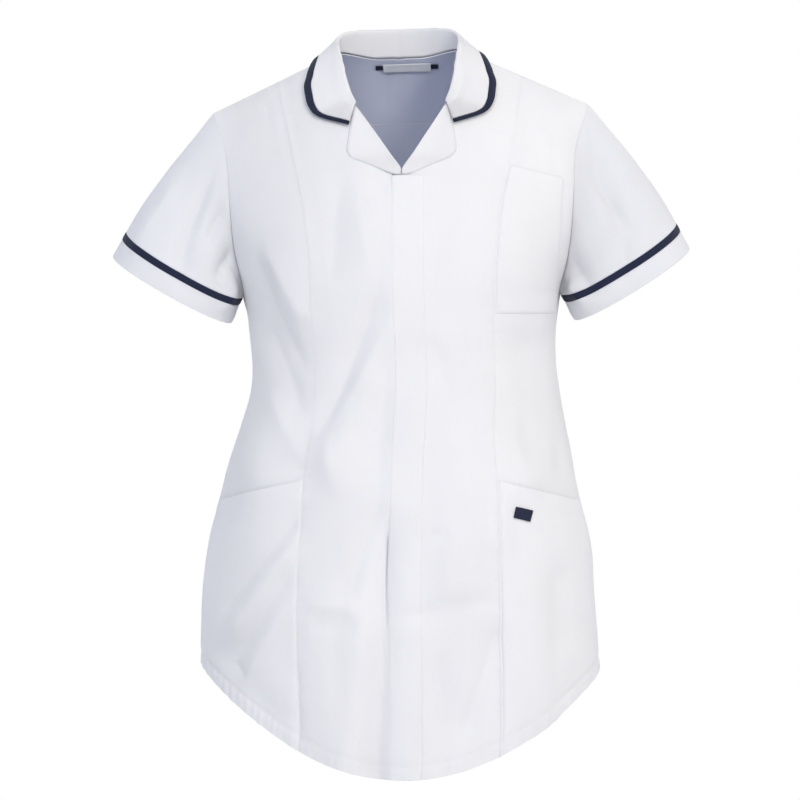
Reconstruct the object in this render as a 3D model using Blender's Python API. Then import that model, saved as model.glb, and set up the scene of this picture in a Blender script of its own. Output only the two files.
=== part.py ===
"""A maternity tunic as it hangs when worn, hollow, with each cut piece as its own thin solid.

Metres, +Z up. The front faces -Y. The origin is the middle of the neck opening, at the height of the
shoulders. Sides are the wearer's: right is at -X and left is at +X.
"""

import math

import bmesh
import bpy
import numpy as np

# Cloth
WALL = 0.0015
SEAM_GAP = 0.0003
PATCH_LIFT = 0.0006  # under a patch, which its panel carries
BAND_WALL = 0.0022  # several plies, as in the placket, the bindings and the collar
TAPE_WALL = 0.0008

# Main sizes
UNDERARM_Z = -0.250
CHEST_RISE = 0.220  # nominal height from underarm to shoulder seam
NECK_HALF = 0.067  # where the shoulder seam meets the neck
NECK_SIDE_Z = 0.009
NECK_DOME = 0.018  # how far the smooth surface would rise between the neck's sides
SHOULDER_SLOPE = 0.46
SIDE_HEM_Z = -0.648
FRONT_HEM_DROP = 0.1195  # the shirt-tail hem, from its side to its middle
BACK_HEM_DROP = 0.110
SECTION_POWER = 2.3  # of the superellipse sections
FRONT_ROLL = 1.75  # how the front and the back turn over at the shoulder
BACK_ROLL = 3.0
GAP_ANGLE = 0.0010  # half a seam gap at the body's radius
SHOULDER_GAP = 0.0002  # half a gap at the shoulder seam, where the body's depth is about SHOULDER_DEPTH
SHOULDER_DEPTH = 0.120
LEAST_DEPTH = 0.020  # keeps the outward direction steady where the section runs out at the shoulder
LAP_X = -0.0100  # the left front's edge, under the placket
BAND_X = 0.0235  # the placket's free edge
BAND_LIFT = 0.0005  # from the fronts to the placket
BAND_STEP = 0.0120  # the left front's row of points beside its edge
BAND_TOP = 0.0990  # levels of the placket's top and of the neck opening's foot
NECK_FOOT = 0.1048
YOKE_Z = -0.066
YOKE_HALF = 0.190
YOKE_DROP = 0.019
YOKE_LEVEL = 0.160  # roughly, to find its x

# Heights below are levels: metres above the underarm, where CHEST_RISE is the shoulder seam.
BODY = ("level  half_width  front   back", """
    -0.520  0.2220  0.182  0.150
    -0.400  0.2145  0.178  0.145
    -0.312  0.2087  0.174  0.138
    -0.264  0.2037  0.171  0.134
    -0.217  0.1927  0.166  0.126
    -0.178  0.1837  0.157  0.116
    -0.140  0.1733  0.146  0.104
    -0.106  0.1657  0.138  0.097
    -0.065  0.1615  0.134  0.095
    -0.034  0.1640  0.136  0.101
     0.000  0.1700  0.138  0.108
     0.055  0.1860  0.138  0.113
     0.110  0.1990  0.135  0.113
     0.165  0.2090  0.132  0.110
     0.220  0.2190  0.128  0.104""")

PRINCESS = ("level  x", """
    -0.520  0.1050
    -0.390  0.1070
    -0.250  0.1040
    -0.200  0.1025
    -0.146  0.0970
    -0.080  0.0962
    -0.010  0.0975
     0.045  0.1000
     0.092  0.1060
     0.121  0.1130
     0.170  0.1220
     0.220  0.1310""")

ARMHOLE = ("level  front_x  back_x", """
    0.000  0.1700  0.1700
    0.055  0.1800  0.1810
    0.110  0.1840  0.1860
    0.165  0.1880  0.1900
    0.220  0.2000  0.2000""")

SIDE_SEAM = ("level  degrees", """
    -0.520  82
    -0.220  82
    -0.080  87
     0.000  90""")

FRONT_NECK = ("level  x", """
    0.0990  -0.0100
    0.1048  0.0003
    0.1373  0.0268
    0.1655  0.0478
    0.1745  0.0535
    0.2028  0.0625
    0.2200  0.0670""")

BACK_NECK = ("x  level", """
    0.000  0.2002
    0.030  0.2037
    0.050  0.2120
    0.060  0.2170
    0.067  0.2199""")

# Each fold runs from its top to its foot. Depth is outwards, so a trough is negative.
FOLD_FADE = 4.0  # a fold is full beyond a quarter of its length from either end
FOLD_AT_HEM = 0.5  # how much of a fold is left where it meets the hem
FOLD_AT_SIDE = 2.5  # how soon the folds come in away from the sides
FRONT_FOLDS = ("top_x  top_z  foot_x  foot_z  depth  half_width", """
    -0.025  -0.257  -0.078  -0.379  -0.0045  0.016
    -0.017  -0.487  -0.048  -0.562  -0.0040  0.016
    -0.010  -0.531  -0.031  -0.760  -0.0070  0.016
    -0.128  -0.190  -0.118  -0.330  -0.0050  0.014
    -0.140  -0.350  -0.150  -0.640   0.0060  0.024
    -0.102  -0.490  -0.186  -0.590   0.0035  0.014
    -0.075  -0.520  -0.082  -0.760   0.0045  0.022
     0.106  -0.600   0.072  -0.700  -0.0045  0.015
     0.132  -0.285   0.142  -0.440  -0.0050  0.016
     0.060  -0.420   0.064  -0.600   0.0040  0.026
     0.130  -0.520   0.150  -0.720   0.0045  0.022""")

BACK_FOLDS = ("top_x  top_z  foot_x  foot_z  depth  half_width", """
    -0.120  -0.300  -0.140  -0.640  -0.0060  0.020
    -0.060  -0.260  -0.085  -0.560   0.0050  0.022
    -0.012  -0.330  -0.030  -0.740  -0.0060  0.020
     0.045  -0.280   0.062  -0.600   0.0050  0.022
     0.105  -0.300   0.118  -0.700  -0.0065  0.020
     0.030  -0.100   0.070  -0.210  -0.0035  0.018
    -0.040  -0.110  -0.085  -0.220  -0.0035  0.018""")

# The garment hangs a little askew: each height is moved sideways, and it leans.
SWAY = ("z  x", """
    -0.780  -0.0010
    -0.650  -0.0010
    -0.560  -0.0025
    -0.510  -0.0016
    -0.430   0.0000
    -0.390   0.0023
    -0.356   0.0045
    -0.315   0.0034
    -0.250   0.0010
    -0.060   0.0000
     0.040  -0.0035""")
LEAN_AT_NECK = 0.027
LEAN_PER_METRE = 0.065

# Revers, from the foot of the neck opening up to the collar
REVER = ("z  inner_x  outer_x", """
    -0.1240  0.0006  0.0070
    -0.1180  0.0008  0.0220
    -0.1120  0.0045  0.0360
    -0.1060  0.0088  0.0520
    -0.1000  0.0130  0.0575
    -0.0880  0.0212  0.0575
    -0.0740  0.0310  0.0553
    -0.0620  0.0392  0.0525
    -0.0510  0.0468  0.0505""")
REVER_LIFT = 0.0010
REVER_STEPS = 5

# The collar: turn is 0 at the middle of the back, 1 at the shoulder seam and 2 at the front end
COLLAR = ("turn  roll_x  roll_y  roll_z  edge_x  edge_level  edge_lift", """
    0.00  0.0000   0.0690   0.0340  0.0000  0.1906  0.0100
    0.20  0.0225   0.0665   0.0340  0.0300  0.1933  0.0100
    0.40  0.0430   0.0565   0.0335  0.0590  0.2031  0.0080
    0.60  0.0580   0.0400   0.0310  0.0790  0.2138  0.0055
    0.80  0.0640   0.0220   0.0255  0.0880  0.2195  0.0045
    1.00  0.0645  -0.0040   0.0185  0.0915  0.2194  0.0040
    1.25  0.0632  -0.0262   0.0085  0.0950  0.2153  0.0040
    1.50  0.0605  -0.0455  -0.0060  0.0985  0.2077  0.0040
    1.75  0.0572  -0.0628  -0.0250  0.1008  0.1932  0.0040
    1.85  0.0545  -0.0697  -0.0335  0.0972  0.1784  0.0040
    1.93  0.0512  -0.0748  -0.0405  0.0865  0.1652  0.0040
    2.00  0.0485  -0.0790  -0.0465  0.0555  0.1488  0.0040""")
COLLAR_TURNS = [
    0, 0.1875, 0.375, 0.5625, 0.75, 0.9375, 1.125, 1.3125, 1.5,
    1.65, 1.72, 1.79, 1.86, 1.93, 2.0,
]
COLLAR_END_LEVEL = 0.1655  # where the collar's seam ends on the front neck
COLLAR_FOOT_POWER = 1.5
EDGE_OVER_SHOULDER = 0.90  # the turn where the collar's edge passes from the back to the front
COLLAR_WALL = 0.0016
COLLAR_CLEARANCE = 0.0036  # from the fronts to the middle of the collar's cloth
SEAM_RISE = 0.0015  # from the neck's edge to the foot of the collar
BINDING = 0.0080
BINDING_AT_END = 0.0045
BINDING_NARROWS = 1.8  # the turn where the binding starts to narrow
BINDING_GAP = 0.0008
FALL_STEPS = 10
BINDING_STEPS = 3
LINE_STEPS = 80  # of the fine line that the collar's points are taken from
CLEAR_FROM = 45  # the first of them that is kept clear of the body
SECTION_MIDDLE = 0.100  # depth below the shoulder of the middle that the collar is moved out from
SECTION_LOW = 0.030
SECTION_STEPS = 24

# Sleeves
CUFF_OUTER = (0.3083, -0.205)  # x and z of the cuff's two corners
CUFF_INNER = (0.1827, -0.279)
CUFF_HALF_DEPTH = 0.056
CUFF_FRONT_DIP = 0.009
CUFF_POWER = 2.2
CUFF = 0.0208
TRIM = 0.0075
SLEEVE_SWELL = 0.007
ARMHOLE_GAP = 0.00050
TOUCHING = 1e-6
SLEEVE_STEPS = 8

# Patches
MOUTH = ("x  z", """
    0.0950  -0.4470
    0.1800  -0.4690
    0.2200  -0.4760""")  # the hip pocket's slanted mouth
MOUTH_LEVEL = -0.205
POCKET_SIDES = (0.015, 0.985)  # the hip pocket's edges, as shares of the side front's width
MOUTH_GAPE = 0.0030
MOUTH_GAPE_DEPTH = 0.030
BREAST_TOP = 0.1240  # levels
BREAST_FOOT = -0.0230
BREAST_SIDES = (0.02, 0.77)
TAB_CENTRE = (0.1295, -0.4850)
TAB_SIZE = (0.018, 0.012)
TAB_TILT = math.radians(-13)
LABEL_X = (-0.018, 0.034)
LABEL_Z = (-0.0100, -0.0012)
LOOP_X = (-0.026, 0.042)
LOOP_Z = (-0.0075, -0.0030)
TAPE_GAP = 0.0008
TAPE_STEPS = 9

WHITE = ("white_cloth", (0.84, 0.85, 0.90), 0.85)
NAVY = ("navy_trim", (0.010, 0.014, 0.045), 0.75)
LABEL_WHITE = ("label_satin", (0.80, 0.82, 0.86), 0.50)


def table(named):
    """The rows of a table and their slopes, for smooth reading between them."""
    rows = np.array([line.split() for line in named[1].strip().splitlines()], float)
    return rows[:, 0], rows[:, 1:], np.gradient(rows[:, 1:], rows[:, 0], axis=0)


def read(rows, at):
    """The table's other columns at this value of its first one, on a smooth curve through its rows."""
    keys, values, slopes = rows
    at = min(max(at, keys[0]), keys[-1])
    i = min(max(int(np.searchsorted(keys, at)) - 1, 0), len(keys) - 2)
    span = keys[i + 1] - keys[i]
    t = (at - keys[i]) / span
    ahead = t * t * (3 - 2 * t)
    bend = t * (1 - t) * span
    straight = values[i] * (1 - ahead) + values[i + 1] * ahead
    return straight + bend * ((1 - t) * slopes[i] - t * slopes[i + 1])


body_rows = table(BODY)
princess_rows = table(PRINCESS)
armhole_rows = table(ARMHOLE)
side_rows = table(SIDE_SEAM)
front_neck_rows = table(FRONT_NECK)
back_neck_rows = table(BACK_NECK)
sway_rows = table(SWAY)
rever_rows = table(REVER)
collar_rows = table(COLLAR)
mouth_rows = table(MOUTH)
front_fold_rows = np.array([line.split() for line in FRONT_FOLDS[1].strip().splitlines()], float)
back_fold_rows = np.array([line.split() for line in BACK_FOLDS[1].strip().splitlines()], float)


def unit(vector):
    return vector / np.linalg.norm(vector)


def hung(point):
    """Where a point of the straight garment is once it hangs a little askew."""
    x, y, z = point
    x += read(sway_rows, z)[0]
    return np.array([x, y, z + x * (LEAN_AT_NECK + LEAN_PER_METRE * z)])


def shoulder_z(x):
    """Height of the shoulder line at this x, with a smooth dome where the neck opening is."""
    beyond = abs(x) - NECK_HALF
    if beyond >= 0:
        return NECK_SIDE_Z - SHOULDER_SLOPE * beyond
    return NECK_SIDE_Z + NECK_DOME * (1 - (x / NECK_HALF) ** 2)


def fold_height(folds, x, z):
    """How far the folds lift the cloth here. Each is a soft ridge or trough that fades at both ends."""
    total = 0.0
    for top_x, top_z, foot_x, foot_z, depth, half_width in folds:
        run = np.array([foot_x - top_x, foot_z - top_z])
        away = np.array([x - top_x, z - top_z])
        along = float(np.clip(away @ run / (run @ run), 0, 1))
        aside = np.linalg.norm(away - along * run)
        at_foot = FOLD_AT_HEM if foot_z < SIDE_HEM_Z else 0
        fade = min(1.0, FOLD_FADE * along, FOLD_FADE * (1 - along) + at_foot)
        total += depth * math.exp(-((aside / half_width) ** 2)) * fade
    return total


def body_point(angle, level):
    """A point of the body's outer face. The angle is 0 at the front and 90 degrees at the side at +X."""
    half_width, front, back = read(body_rows, level)
    side, ahead = math.sin(angle), math.cos(angle)
    shape = 2 / SECTION_POWER
    x = half_width * math.copysign(abs(side) ** shape, side)
    rise = min(max(level, 0.0) / CHEST_RISE, 1.0)
    depth, power = (front, FRONT_ROLL) if ahead >= 0 else (back, BACK_ROLL)
    depth *= (1 - rise**power) ** (1 / power)
    y = -depth * math.copysign(abs(ahead) ** shape, ahead)
    z = UNDERARM_Z + level if level <= 0 else UNDERARM_Z + (shoulder_z(x) - UNDERARM_Z) * rise
    outwards = np.array([x / half_width**2, y / max(depth, LEAST_DEPTH) ** 2])
    folds = front_fold_rows if ahead >= 0 else back_fold_rows
    lift = fold_height(folds, x, z) * min(1, FOLD_AT_SIDE * abs(ahead))
    outwards *= lift / max(np.linalg.norm(outwards), 1e-9)
    return np.array([x + outwards[0], y + outwards[1], z])


def body_normal(angle, level):
    """The outward direction there."""
    step = 1e-4
    low, high = level - step, min(level + step, CHEST_RISE)
    around = body_point(angle + step, level) - body_point(angle - step, level)
    upwards = body_point(angle, high) - body_point(angle, low)
    return unit(np.cross(around, upwards))


def angle_at(x, level):
    """The angle of the front where it has this x."""
    share = min(abs(x) / read(body_rows, level)[0], 1.0)
    return math.copysign(math.asin(share ** (SECTION_POWER / 2)), x)


def level_at(x, z):
    """The level of the place with this x and z."""
    if z <= UNDERARM_Z:
        return z - UNDERARM_Z
    return min((z - UNDERARM_Z) / (shoulder_z(x) - UNDERARM_Z), 1.0) * CHEST_RISE


def front_at(x, z):
    """Angle and level of the front at this place in the front view."""
    level = level_at(x, z)
    return angle_at(x, level), level


def back_at(x, z):
    level = level_at(x, z)
    return math.pi - angle_at(x, level), level


# Seam lines: each gives an angle for a level, on the +X side


def princess(level):
    return angle_at(read(princess_rows, level)[0], level)


def front_edge(level):
    """The side seam below the underarm and the armhole above it."""
    if level <= 0:
        return math.radians(read(side_rows, level)[0])
    return angle_at(read(armhole_rows, level)[0], level)


def back_edge(level):
    """The same on the back, as an angle from the back's middle."""
    if level <= 0:
        return math.pi - math.radians(read(side_rows, level)[0])
    return angle_at(read(armhole_rows, level)[1], level)


def neck_edge(level):
    """The left front's inner edge: the lapped edge low down and the neck opening above it."""
    return angle_at(read(front_neck_rows, level)[0], level)


def band_line(level):
    return angle_at(max(BAND_X, read(front_neck_rows, level)[0] + BAND_STEP), level)


# Level lines: each gives a level for an angle


def at_level(level):
    return lambda angle: level


def hem(angle):
    share = abs(math.sin(angle)) ** (2 / SECTION_POWER)
    drop = FRONT_HEM_DROP if math.cos(angle) > 0 else BACK_HEM_DROP
    return SIDE_HEM_Z - drop * (1 - share**2) - UNDERARM_Z


def mouth(angle):
    x = abs(body_point(angle, MOUTH_LEVEL)[0])
    return read(mouth_rows, x)[0] - UNDERARM_Z


def shoulder(power):
    """The level just short of the shoulder seam, where half a seam gap is left."""
    return at_level(CHEST_RISE * (1 - (SHOULDER_GAP / SHOULDER_DEPTH) ** power) ** (1 / power))


def yoke_line(above):
    """The seam between yoke and back, which drops a little towards the armholes."""
    def line(angle):
        x = body_point(angle, YOKE_LEVEL)[0]
        return level_at(x, YOKE_Z - YOKE_DROP * (x / YOKE_HALF) ** 2 + above)
    return line


def neck_or_shoulder(angle):
    """The top of the yoke: the neck opening, and the shoulder seams beside it."""
    top = shoulder(BACK_ROLL)(angle)
    x = abs(body_point(angle, CHEST_RISE)[0])
    return top if x >= NECK_HALF else min(top, read(back_neck_rows, x)[0])


def between(low, high, share, power):
    """A level between two others. Above the underarm it is spaced so that the turn-over has even steps."""
    if min(low, high) < 0:
        return low + (high - low) * share
    start, end = (math.asin(min(v / CHEST_RISE, 1) ** (power / 2)) for v in (low, high))
    return CHEST_RISE * math.sin(start + (end - start) * share) ** (2 / power)


SETTLE_ROUNDS = 5  # the lines across depend on the level and those up on the angle


def lay_out(across, up, power=FRONT_ROLL):
    """Angles and levels of a panel's points. Each list holds lines with the steps to the next one."""
    columns, rows = (
        [(i, s / n) for i, (_, n) in enumerate(lines[:-1]) for s in range(n)] + [(len(lines) - 2, 1.0)]
        for lines in (across, up)
    )
    places = np.zeros((len(rows), len(columns), 2))
    for r, (row, row_share) in enumerate(rows):
        for c, (column, column_share) in enumerate(columns):
            level = 0.0
            for _ in range(SETTLE_ROUNDS):
                left, right = across[column][0](level), across[column + 1][0](level)
                angle = left + (right - left) * column_share
                level = between(up[row][0](angle), up[row + 1][0](angle), row_share, power)
            places[r, c] = angle, level
    return places


def faces_of(places):
    """Points and outward directions of a panel."""
    points = np.array([[body_point(*place) for place in row] for row in places])
    normals = np.array([[body_normal(*place) for place in row] for row in places])
    return points, normals


def grid_normals(points, ring=False):
    """Directions across a grid of points, from its own neighbours."""
    if ring:
        around = np.roll(points, -1, axis=1) - np.roll(points, 1, axis=1)
    else:
        around = np.gradient(points, axis=1)
    normals = np.cross(around, np.gradient(points, axis=0))
    return normals / np.linalg.norm(normals, axis=2, keepdims=True)


def material_of(look):
    name, colour, roughness = look
    material = bpy.data.materials.get(name) or bpy.data.materials.new(name)
    material.use_nodes = True
    shader = material.node_tree.nodes["Principled BSDF"]
    shader.inputs["Base Color"].default_value = (*colour, 1)
    shader.inputs["Roughness"].default_value = roughness
    shader.inputs["Metallic"].default_value = 0
    return material


def solid(name, outer, inner, look, ring=False):
    """One closed wall between two grids of points, each with a row for each step up the piece."""
    rows, columns = outer.shape[:2]
    steps = columns if ring else columns - 1
    vertices = [hung(point) for point in np.concatenate([outer.reshape(-1, 3), inner.reshape(-1, 3)])]
    under = rows * columns

    def halves(r, c):
        """Both triangles of one step, cut along the same diagonal, so that stacked plies stay parallel."""
        after = (c + 1) % columns
        row, row_above = r * columns, (r + 1) * columns
        a, b, d, e = row + c, row + after, row_above + after, row_above + c
        return [a, b, d], [a, d, e]

    upper = [half for r in range(rows - 1) for c in range(steps) for half in halves(r, c)]
    faces = upper + [[under + v for v in reversed(half)] for half in upper]
    for c in range(steps):
        after = (c + 1) % columns
        top, top_after = (rows - 1) * columns + c, (rows - 1) * columns + after
        faces.append([after, c, under + c, under + after])
        faces.append([top, top_after, under + top_after, under + top])
    if not ring:
        for r in range(rows - 1):
            left, left_up = r * columns, (r + 1) * columns
            right, right_up = left + columns - 1, left_up + columns - 1
            faces.append([left, left_up, under + left_up, under + left])
            faces.append([right_up, right, under + right, under + right_up])
    mesh = bpy.data.meshes.new(name)
    mesh.from_pydata([tuple(v) for v in vertices], [], faces)
    work = bmesh.new()
    work.from_mesh(mesh)
    bmesh.ops.recalc_face_normals(work, faces=work.faces)
    work.to_mesh(mesh)
    work.free()
    mesh.shade_smooth()
    mesh.set_sharp_from_angle(angle=math.radians(40))
    mesh.materials.append(material_of(look))
    piece = bpy.data.objects.new(name, mesh)
    bpy.context.scene.collection.objects.link(piece)
    return piece


def mirrored(points):
    """The same grid on the other side of the body, its columns turned round so that it still faces out."""
    return points[:, ::-1] * np.array([-1.0, 1.0, 1.0])


def wall(name, faces, lift, thickness, look, ring=False):
    """A wall whose inner face is the given face moved out by lift."""
    points, normals = faces
    lift = np.asarray(lift)
    inner = points + normals * lift[..., None]
    return solid(name, inner + normals * thickness, inner, look, ring)


def part_of(faces, rows, first, last):
    """A patch of a panel: some rows, between two shares of its width, from the panel's own points."""
    def cut(grid):
        columns = grid.shape[1] - 1
        picked = grid[rows]
        edges = []
        for share in (first, last):
            at = share * columns
            whole = min(int(at), columns - 1)
            beyond = at - whole
            edges.append(picked[:, whole] * (1 - beyond) + picked[:, whole + 1] * beyond)
        inside = range(math.floor(first * columns) + 1, math.ceil(last * columns))
        return np.stack([edges[0]] + [picked[:, c] for c in inside] + [edges[1]], axis=1)

    points, normals = cut(faces[0]), cut(faces[1])
    return points, normals / np.linalg.norm(normals, axis=2, keepdims=True)


def inset(line, by):
    return lambda level: line(level) + by * GAP_ANGLE


def negative(line):
    return lambda level: -line(level)


# The fronts' rows: each line with the number of steps to the next one. All the fronts share them, so that
# their facets meet along the seams.
FRONT_ROWS = [
    (hem, 9), (mouth, 6), (at_level(BREAST_FOOT), 1), (at_level(0.0), 4), (at_level(BAND_TOP), 1),
    (at_level(NECK_FOOT), 1), (at_level(BREAST_TOP), 6), (shoulder(FRONT_ROLL), 0),
]

HIP_ROWS = slice(0, 10)  # the rows under the hip pocket and under the breast pocket
BREAST_ROWS = slice(15, 23)

# The centre fronts' parts, with the first and last row of each. A part is nearly flat, a whole front isn't.
CENTRE_PARTS = (("lower", 0, 9), ("middle", 9, 15), ("upper", 15, 28))

# Pieces


def side_front():
    """Places of the left side front, which both sides use."""
    return lay_out([(inset(princess, 1), 8), (inset(front_edge, -1), 0)], FRONT_ROWS)


def both_sides(name, points, normals, lift, thickness, look):
    """The left piece and its mirror image."""
    left = wall(f"{name}_left", (points, normals), lift, thickness, look)
    flipped = np.asarray(lift)
    flipped = flipped[:, ::-1] if flipped.ndim == 2 else flipped
    right = wall(f"{name}_right", (mirrored(points), mirrored(normals)), flipped, thickness, look)
    return left, right


def build_side_fronts():
    left = side_front()
    right = left[:, ::-1] * np.array([-1.0, 1.0])
    for side, places in (("left", left), ("right", right)):
        faces = faces_of(places)
        wall(f"front_side_{side}", faces, -WALL, WALL, WHITE)
        build_hip_pocket(side, faces)
        if side == "left":
            build_breast_pocket(faces)
    return left


def build_hip_pocket(side, faces):
    """From the hem to the mouth, with the mouth standing a little open."""
    points, normals = part_of(faces, HIP_ROWS, *POCKET_SIDES)
    rows, columns = points.shape[:2]
    heights = points[:, :, 2]
    below_mouth = heights[-1] - heights
    open_here = np.clip(1 - below_mouth / MOUTH_GAPE_DEPTH, 0, 1) ** 2
    across = np.sin(np.linspace(0, math.pi, columns))
    wall(f"hip_pocket_{side}", (points, normals), PATCH_LIFT + MOUTH_GAPE * open_here * across, WALL, WHITE)


def build_breast_pocket(faces):
    wall("breast_pocket", part_of(faces, BREAST_ROWS, *BREAST_SIDES), PATCH_LIFT, WALL, WHITE)


def centre_wall(name, faces):
    """A centre front in its three parts, with the gap of a seam between them."""
    last_row = len(faces[0]) - 1
    for part, first, last in CENTRE_PARTS:
        points, normals = (grid[first:last + 1].copy() for grid in faces)
        for row, inwards, meets_another in ((0, 1, first > 0), (-1, -2, last < last_row)):
            if meets_another:
                step = points[inwards] - points[row]
                points[row] += step * (0.5 * SEAM_GAP / np.linalg.norm(step, axis=1, keepdims=True))
        wall(f"{name}_{part}", (points, normals), -WALL, WALL, WHITE)


def build_centre_fronts():
    """Both middle fronts. The right one stops at the placket band, which laps over the left one."""
    left = lay_out([(neck_edge, 2), (band_line, 5), (inset(princess, -1), 0)], FRONT_ROWS)
    centre_wall("front_centre_left", faces_of(left))

    def right_inner(level):
        return -angle_at(max(-LAP_X + SEAM_GAP, read(front_neck_rows, level)[0]), level)

    right = lay_out([(inset(negative(princess), 1), 6), (right_inner, 0)], FRONT_ROWS)
    centre_wall("front_centre_right", faces_of(right))

    def band_start(level):
        return angle_at(LAP_X, level)

    def band_end(level):
        return angle_at(BAND_X, level)

    band = lay_out([(band_start, 2), (band_end, 0)], FRONT_ROWS[:4] + [(FRONT_ROWS[4][0], 0)])
    wall("placket_band", faces_of(band), BAND_LIFT, BAND_WALL, WHITE)


def build_back():
    below = [(hem, 15), (at_level(0.0), 6), (yoke_line(-0.5 * SEAM_GAP), 0)]
    above = [(yoke_line(0.5 * SEAM_GAP), 6), (neck_or_shoulder, 0)]
    edges = [inset(negative(back_edge), 1), inset(back_edge, -1)]
    panel = lay_out([(edges[0], 22), (edges[1], 0)], below, BACK_ROLL)

    def neck_side(level):
        return angle_at(NECK_HALF, level)

    across = [(edges[0], 6), (negative(neck_side), 10), (neck_side, 6), (edges[1], 0)]
    yoke = lay_out(across, above, BACK_ROLL)
    for name, places in (("back", panel), ("back_yoke", yoke)):
        turned = places.copy()
        turned[:, :, 0] = math.pi - places[:, :, 0]
        points, normals = faces_of(turned[:, ::-1])
        wall(name, (points, normals), -WALL, WALL, WHITE)
    return panel, yoke


def build_revers():
    """The turned-back tops of the fronts, lying on them."""
    shares = np.linspace(0, 1, REVER_STEPS)
    places = np.array([
        [front_at(inner + (outer - inner) * share, z) for share in shares]
        for z, (inner, outer) in zip(rever_rows[0], rever_rows[1])
    ])
    both_sides("rever", *faces_of(places), REVER_LIFT, WALL, WHITE)


def neck_point(turn):
    """The foot of the collar, round the neck opening."""
    if turn <= 1:
        x = NECK_HALF * math.sin(turn * math.pi / 2)
        level = read(back_neck_rows, x)[0]
        place = (math.pi - angle_at(x, level), level)
    else:
        level = CHEST_RISE - (CHEST_RISE - COLLAR_END_LEVEL) * (turn - 1) ** COLLAR_FOOT_POWER
        place = (angle_at(read(front_neck_rows, level)[0], level), level)
    return body_point(*place) + np.array([0, 0, SEAM_RISE])


def clear_of_body(point):
    """Moves a point of the collar's fall out, round the shoulder, until it is clear of the body."""
    x, y, z = point
    middle = shoulder_z(x) - SECTION_MIDDLE
    levels = np.linspace(SECTION_LOW, CHEST_RISE, SECTION_STEPS)
    front = [body_point(angle_at(x, level), level)[1:] for level in levels]
    back = [body_point(math.pi - angle_at(x, level), level)[1:] for level in levels[-2::-1]]
    section = np.array(front + back) - np.array([0, middle])
    turns = np.arctan2(section[:, 1], section[:, 0])
    order = np.argsort(turns)
    reach = np.interp(math.atan2(z - middle, y), turns[order], np.linalg.norm(section, axis=1)[order])
    length = math.hypot(y, z - middle)
    grow = max(1.0, (reach + COLLAR_CLEARANCE) / length)
    return np.array([x, y * grow, middle + (z - middle) * grow])


def collar_line(turn):
    """The collar's middle line at one station, from the neck's seam over the roll to the outer edge."""
    roll_x, roll_y, roll_z, edge_x, edge_level, lift = read(collar_rows, turn)
    foot = neck_point(turn)
    roll = np.array([roll_x, roll_y, roll_z])
    angle = angle_at(edge_x, edge_level)
    place = (math.pi - angle if turn < EDGE_OVER_SHOULDER else angle, edge_level)
    edge = body_point(*place) + lift * body_normal(*place)
    handles = [foot, foot + (roll - foot) * 4 / 3, edge + (roll - edge) * 4 / 3, edge]
    line = []
    for step in range(LINE_STEPS + 1):
        t = step / LINE_STEPS
        weights = [(1 - t) ** 3, 3 * (1 - t) ** 2 * t, 3 * (1 - t) * t**2, t**3]
        point = sum(weight * handle for weight, handle in zip(weights, handles))
        line.append(clear_of_body(point) if step >= CLEAR_FROM else point)
    return np.array(line)


def along(line, distances):
    """Points at these shares of the line's length."""
    lengths = np.concatenate([[0], np.cumsum(np.linalg.norm(np.diff(line, axis=0), axis=1))])
    return np.stack([np.interp(distances * lengths[-1], lengths, line[:, k]) for k in range(3)], axis=1)


def build_collar():
    stations = []
    for turn in COLLAR_TURNS:
        line = collar_line(turn)
        length = np.linalg.norm(np.diff(line, axis=0), axis=1).sum()
        narrowing = max(0, (turn - BINDING_NARROWS) / (COLLAR_TURNS[-1] - BINDING_NARROWS))
        start = 1 - (BINDING + (BINDING_AT_END - BINDING) * narrowing) / length
        fall = np.linspace(0, start - BINDING_GAP / length, FALL_STEPS)
        stations.append(along(line, np.concatenate([fall, np.linspace(start, 1, BINDING_STEPS)])))
    left = np.array(stations)
    right = left[:0:-1] * np.array([-1.0, 1.0, 1.0])
    points = np.concatenate([right, left]).transpose(1, 0, 2)
    normals = grid_normals(points)
    for name, rows, thickness, look in (
        ("collar", slice(0, FALL_STEPS), COLLAR_WALL, WHITE),
        ("collar_binding", slice(FALL_STEPS, None), BAND_WALL, NAVY),
    ):
        wall(name, (points[rows], normals[rows]), -0.5 * thickness, thickness, look)


def armhole_ring(front_levels, back_levels):
    """Places round the left armhole: up the front from the underarm and down the back."""
    ring = [(front_edge(level) if level > 0 else math.pi / 2, level) for level in front_levels]
    ring += [(math.pi - back_edge(level), level) for level in back_levels]
    return ring


def cuff_point(turn):
    """The cuff's edge. Turn is 0 at the underarm, 0.5 at the top and 1 at the underarm, front first."""
    outer, inner = np.array(CUFF_OUTER), np.array(CUFF_INNER)
    middle, half = (outer + inner) / 2, (outer - inner) / 2
    across, front = -math.cos(2 * math.pi * turn), math.sin(2 * math.pi * turn)
    shape = 2 / CUFF_POWER
    across = math.copysign(abs(across) ** shape, across)
    front = math.copysign(abs(front) ** shape, front)
    down = unit(np.array([half[1], -half[0]]))
    x, z = middle + half * across + down * CUFF_FRONT_DIP * front
    return np.array([x, -CUFF_HALF_DEPTH * front, z])


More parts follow.
